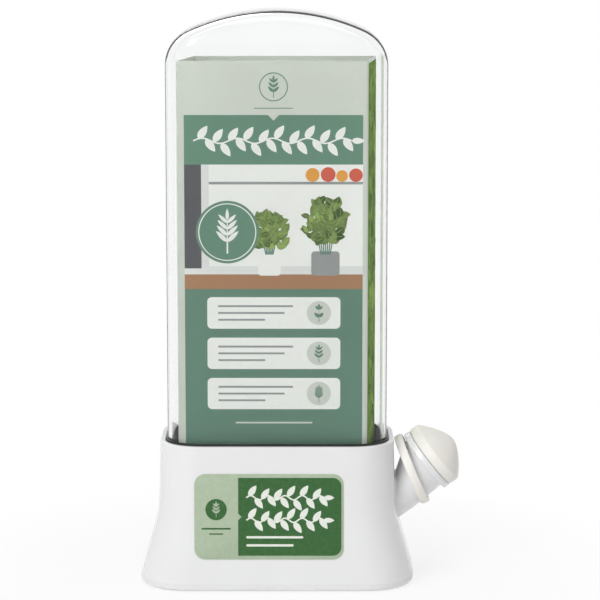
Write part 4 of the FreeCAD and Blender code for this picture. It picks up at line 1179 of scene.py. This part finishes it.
def field_print(sheet, art, half, low):
    """Lower field: three boxes with plain lines and a sprig on a spot, and a line below them."""
    sheet.panel(-half, half, low, art.picture_foot, mm(0.05), FIELD)
    wide, tall, spot = art.box_length / 2, art.box_height / 2, mm(21)
    for index in range(3):
        middle = art.box_top - index * art.box_pitch
        sheet.panel(-wide, wide, middle - tall, middle + tall, mm(0.09), WHITE, mm(2.2))
        sheet.disc(spot, middle, mm(5.6), mm(0.12), SAGE)
        sprig(sheet, spot, middle - mm(4.2), mm(8.6), FIELD, mm(0.14), pairs=2 + index)
        for rise, end in ((3.2, 9.0), (0.0, 5.0), (-3.2, -4.0)):
            sheet.bar(mm(-26), mm(end), middle + mm(rise), mm(0.9), mm(0.12), GREY, mm(0.4))
    sheet.bar(mm(-18), mm(18), middle - mm(13.85), mm(0.8), mm(0.09), SAGE, mm(0.35))


def back_print(sheet, s, art):
    """Back of the sleeve: field, pale panel with three sprigs, and a garland."""
    half = s.length / 2 - mm(1.6)
    sheet.panel(-half, half, s.foot + art.edge, art.header_top, mm(0.04), FIELD)
    sheet.panel(mm(-34), mm(34), mm(150), mm(214), mm(0.06), SAGE, mm(3))
    for u, tall in ((-20, 44), (0, 54), (20, 44)):
        sprig(sheet, mm(u), mm(156), mm(tall), HEADER, mm(0.09), pairs=6, blade=0.3, stem=0.02)
    garland(sheet, mm(-34), mm(33), mm(126), mm(11), WHITE, mm(0.08))


def sleeve_slant(s):
    """Middle of the sleeve, and how far its walls move along X for each step along Y."""
    middle = np.array([(s.front_shift + s.back_shift) / 2, (s.front + s.back) / 2, 0])
    return middle, (s.back_shift - s.front_shift) / (s.back - s.front)


def sleeve_tube(s):
    """Folded tube of board: a straight box whose points then move along X by skew times Y."""
    middle, skew = sleeve_slant(s)
    outside = (s.length / 2, (s.back - s.front) / 2, s.fold)
    inside = tuple(value - s.board for value in outside)
    points, faces = band([(*outside, s.foot), (*outside, s.top), (*inside, s.top),
                          (*inside, s.foot)], [mm(0.08)] * 4, 2)
    return points + skew * points[:, 1:2] * LEVEL + middle, faces


def sleeve_print(s, art):
    """Artwork of the sleeve's four faces."""
    middle, skew = sleeve_slant(s)
    half, low = s.length / 2 - art.margin, s.foot + art.edge
    sheet = Print()
    sheet.face((s.front_shift + art.shift, s.front, 0), LEVEL, UPRIGHT)
    header_print(sheet, art, half)
    picture_print(sheet, art, half)
    field_print(sheet, art, half, low)
    sheet.face((s.back_shift, s.back, 0), -LEVEL, UPRIGHT)
    back_print(sheet, s, art)
    slope = math.hypot(skew, 1)
    run = (skew * LEVEL + SIDEWAYS) / slope
    reach = (s.back - s.front) / 2 * slope - mm(1.4)
    for side, seed in ((1, 11), (-1, 12)):
        sheet.face(middle + side * s.length / 2 * LEVEL, side * run, UPRIGHT)
        herb_panel(sheet, seed, reach, low, s.top - art.edge)
    return sheet


class KEEPER_OT_card(bpy.types.Operator):
    """Build the folded sleeve and its print"""
    bl_idname = "keeper.card"
    bl_label = "Card sleeve"

    def execute(self, context):
        s = context.scene.keeper_card
        inks = print_materials(s)
        sleeve = solid("card_sleeve", sleeve_tube(s), inks[SAGE])
        artwork = sleeve_print(s, context.scene.keeper_print).make("card_print", inks)
        for piece in (sleeve, artwork):
            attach(piece, "card")
        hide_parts("display_card")
        return {"FINISHED"}


def sticker_place(s, tank):
    """Middle of the sticker on the tank's leaning front, with its directions up and out."""
    land = mm(1.2)
    run = (tank.foot_depth - tank.rim_depth) / 2
    rise = tank.rim_height - land - tank.floor_thick
    lean = math.atan2(run, rise)
    up = math.sin(lean) * SIDEWAYS + math.cos(lean) * UPRIGHT
    front = -tank.foot_depth / 2 + (s.sticker_middle - tank.floor_thick) * run / rise
    return np.array([s.sticker_shift, front, s.sticker_middle]), up, np.cross(LEVEL, up)


def sticker_blank(s, middle, up, out):
    """Blank sticker: rings from the middle of its back, round its edge, to that of its face."""
    half_u, half_v = s.sticker_length / 2, s.sticker_height / 2
    ring = rounded_rings([[half_u, half_v, s.sticker_corner, 0]], 10)[0]
    flat = ring[:, :1] * LEVEL + ring[:, 1:2] * up
    back, face, bevel = mm(0.015), s.sticker_thick, mm(0.03)
    lifts = np.array([back, back, face - bevel, face, face])
    shares = np.array([0.0, 1.0, 1.0, 0.998, 0.0])
    points = middle + shares[:, None, None] * flat + lifts[:, None, None] * out
    return surface(points, False, True)


def block_outline(art):
    """Outline of the dark block: square on the left and rounded on the right."""
    left, high, corner = art.block_left, art.block_height / 2, art.block_corner
    upper = arc((art.block_right - corner, high - corner), corner, 0, math.pi / 2, 10)
    return np.concatenate([[(left, -high)], upper[::-1] * [1, -1], upper, [(left, high)]])


def sticker_print(sheet, art):
    """Emblem over two short lines, and a dark block with garlands and two lines."""
    outline, left, notch = block_outline(art), art.block_left, mm(1.6)
    sheet.add(outline, [np.arange(len(outline))], mm(0.03), FOREST)
    sheet.wedge([(left, -notch), (left + notch, 0), (left, notch)], mm(0.05), MINT)
    u, v = art.crest_shift, art.crest_rise
    sheet.disc(u, v, art.crest_radius, mm(0.03), FOREST)
    sprig(sheet, u, v - mm(3.7), mm(7.6), MINT, mm(0.05))
    for half, drop, width, corner in ((6.8, 9.0, 0.8, 0.35), (3.3, 11.5, 0.6, 0.25)):
        sheet.bar(u - mm(half), u + mm(half), v - mm(drop), mm(width), mm(0.03), FOREST,
                  mm(corner))
    start = left + mm(3.8)
    for middle in (9.0, -1.6):
        garland(sheet, start, mm(25.5), mm(middle), mm(10), BRIGHT, mm(0.06))
    for middle, end in ((-9.6, 16.0), (-13.4, 11.5)):
        sheet.bar(start, mm(end), mm(middle), mm(1.1), mm(0.06), BRIGHT, mm(0.5))


class KEEPER_OT_sticker(bpy.types.Operator):
    """Build the sticker on the leaning front face"""
    bl_idname = "keeper.sticker"
    bl_label = "Front sticker"

    def execute(self, context):
        s = context.scene.keeper_card
        inks = sticker_materials(s)
        middle, up, out = sticker_place(s, context.scene.keeper_tank)
        base = solid("front_sticker", sticker_blank(s, middle, up, out), inks[MINT])
        sheet = Print()
        sheet.face(middle + out * s.sticker_thick, LEVEL, up)
        sticker_print(sheet, context.scene.keeper_print)
        artwork = sheet.make("sticker_print", inks)
        for piece in (base, artwork):
            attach(piece, "base")
        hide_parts("front_label")
        return {"FINISHED"}


# ---------------------------------------------------------------- stage

# Where the camera looks, from which side and how far, and the width in view at that distance.
VIEW_AZIMUTH = math.radians(0.1)
VIEW_ELEVATION = math.radians(8.89)
VIEW_DISTANCE = 1.2
VIEW_WIDTH = 0.2843
VIEW_TARGET = (0.0108, 0.0, 0.1328)
VIEW_DEPTH = 50.0
SENSOR = 36.0

# Strength of the background's light from the level and from straight above.
HORIZON_GLOW = 0.16
ZENITH_GLOW = 0.55
PURE_WHITE = (1, 1, 1, 1)

# Half the floor's width and how far it lies below the object.
FLOOR_REACH = 4.0
FLOOR_DROP = mm(0.2)

LAMP_TARGET = (0.0, 0.0, 0.13)
LAMPS = (
    # name, place, width, height, watts
    ("left_softbox", (-1.2, -1.9, 1.2), 0.9, 1.4, 27.5),
    ("right_softbox", (1.7, -1.1, 0.9), 0.6, 1.4, 1.0),
    ("top_softbox", (0.1, -0.3, 2.0), 1.2, 1.0, 9.0),
    ("back_softbox", (-0.7, 2.0, 1.3), 1.2, 1.0, 6.0),
)


def aim(thing, place, target):
    """Stand a lamp or camera at a place, facing the target."""
    thing.location = place
    thing.rotation_mode = "QUATERNION"
    thing.rotation_quaternion = (Vector(target) - Vector(place)).to_track_quat("-Z", "Y")


def shown_rays(tree):
    """Factor of 1 for rays that show the background directly, in a reflection or through."""
    path = node(tree, "ShaderNodeLightPath").outputs
    seen = worked(tree, "MAXIMUM", path["Is Camera Ray"], path["Is Glossy Ray"])
    return worked(tree, "MAXIMUM", seen, path["Is Transmission Ray"])


def studio_world(horizon, zenith):
    """White background whose own, weaker light on the object grows from horizon to zenith."""
    world = bpy.data.worlds.new("studio")
    world.use_nodes = True
    tree = world.node_tree
    tree.nodes.clear()
    place = node(tree, "ShaderNodeTexCoord").outputs["Object"]
    height = node(tree, "ShaderNodeSeparateXYZ", {"Vector": place}).outputs["Z"]
    strength = ranged(tree, height, horizon, zenith, 0.0, 1.0)
    glow = node(tree, "ShaderNodeBackground", {"Color": PURE_WHITE, "Strength": strength})
    white = node(tree, "ShaderNodeBackground", {"Color": PURE_WHITE, "Strength": 1.0})
    mix = node(tree, "ShaderNodeMixShader", {0: shown_rays(tree), 1: glow.outputs[0],
                                             2: white.outputs[0]})
    node(tree, "ShaderNodeOutputWorld", {"Surface": mix.outputs[0]})
    bpy.context.scene.world = world


def floor_material():
    """Pale floor that glows white for the rays that show it, fully so further out."""
    material, tree, shader = shader_of("studio_floor")
    place = node(tree, "ShaderNodeTexCoord").outputs["Object"]
    far = node(tree, "ShaderNodeVectorMath", {0: place}, operation="LENGTH").outputs["Value"]
    fade = ranged(tree, far, 0.8, 1.0, mm(80), mm(200))
    share = worked(tree, "MULTIPLY", fade, shown_rays(tree))
    dull, pale = (0.93, 0.93, 0.93), (0.95, 0.95, 0.95)
    fill(tree, shader, {
        "Base Color": mixed(tree, ranged(tree, noise(tree, 3.0), 0, 1), dull, pale),
        "Roughness": 0.8,
        "Specular IOR Level": 0.1,
    })
    white = node(tree, "ShaderNodeEmission", {"Color": PURE_WHITE, "Strength": 1.0})
    mix = node(tree, "ShaderNodeMixShader", {0: share, 1: shader.outputs[0],
                                             2: white.outputs[0]})
    fill(tree, tree.nodes["Material Output"], {"Surface": mix.outputs[0]})
    return material


def studio_floor():
    """Level sheet a little below the object."""
    side = np.linspace(-FLOOR_REACH, FLOOR_REACH, 9)
    across, deep = np.meshgrid(side, side)
    points, faces = surface(np.stack([across, deep, np.full_like(across, -FLOOR_DROP)], axis=-1))
    mesh = bpy.data.meshes.new("studio_floor")
    mesh.from_pydata(points.tolist(), [], faces.tolist())
    mesh.materials.append(floor_material())
    return linked("studio_floor", mesh)


def studio_lamps():
    """Area lamps, all facing the middle of the object."""
    for name, place, width, height, watts in LAMPS:
        data = bpy.data.lights.new(name, "AREA")
        data.shape = "RECTANGLE"
        data.size = width
        data.size_y = height
        data.energy = watts
        aim(linked(name, data), place, LAMP_TARGET)


def studio_camera():
    """Camera at its distance from the target, turned by its azimuth and raised by its elevation.

    Its direction from the target is (sin a cos e, -cos a cos e, sin e).
    """
    data = bpy.data.cameras.new("camera")
    data.sensor_width = SENSOR
    data.lens = SENSOR * VIEW_DISTANCE / VIEW_WIDTH
    data.clip_end = VIEW_DEPTH
    camera = linked("camera", data)
    sin_a, cos_a = math.sin(VIEW_AZIMUTH), math.cos(VIEW_AZIMUTH)
    sin_e, cos_e = math.sin(VIEW_ELEVATION), math.cos(VIEW_ELEVATION)
    back = Vector((sin_a * cos_e, -cos_a * cos_e, sin_e))
    aim(camera, Vector(VIEW_TARGET) + back * VIEW_DISTANCE, VIEW_TARGET)
    return camera


class KEEPER_OT_stage(bpy.types.Operator):
    """Set up the floor, the lamps, the background and the camera"""
    bl_idname = "keeper.stage"
    bl_label = "Stage"

    def execute(self, context):
        studio_floor()
        studio_lamps()
        studio_world(HORIZON_GLOW, ZENITH_GLOW)
        context.scene.camera = studio_camera()
        context.scene.view_settings.view_transform = "Standard"
        return {"FINISHED"}


# ---------------------------------------------------------------- panel and registration

OPERATORS = (KEEPER_OT_tank, KEEPER_OT_spout, KEEPER_OT_cap, KEEPER_OT_basket, KEEPER_OT_card,
             KEEPER_OT_sticker, KEEPER_OT_dome, KEEPER_OT_stage)


class KEEPER_PT_panel(bpy.types.Panel):
    """Sizes, colours and building steps of the herb keeper"""
    bl_idname = "KEEPER_PT_panel"
    bl_label = "Herb Keeper"
    bl_space_type = "VIEW_3D"
    bl_region_type = "UI"
    bl_category = "Herb Keeper"

    def draw(self, context):
        for operator in OPERATORS:
            self.layout.operator(operator.bl_idname)
        for name, group in SIZE_GROUPS:
            box = self.layout.box()
            box.label(text=group.__doc__)
            for key in group.__annotations__:
                box.prop(getattr(context.scene, name), key)


def register():
    """Register the classes and hang the size groups on the scene."""
    for name, group in SIZE_GROUPS:
        bpy.utils.register_class(group)
        setattr(bpy.types.Scene, name, bpy.props.PointerProperty(type=group))
    for item in (*OPERATORS, KEEPER_PT_panel):
        bpy.utils.register_class(item)


def unregister():
    """Take the classes and the size groups away again."""
    for item in (KEEPER_PT_panel, *reversed(OPERATORS)):
        bpy.utils.unregister_class(item)
    for name, group in SIZE_GROUPS:
        delattr(bpy.types.Scene, name)
        bpy.utils.unregister_class(group)


def main():
    """Build everything in order."""
    register()
    for operator in OPERATORS:
        family, call = operator.bl_idname.split(".")
        getattr(getattr(bpy.ops, family), call)()


if __name__ == "__main__":
    main()
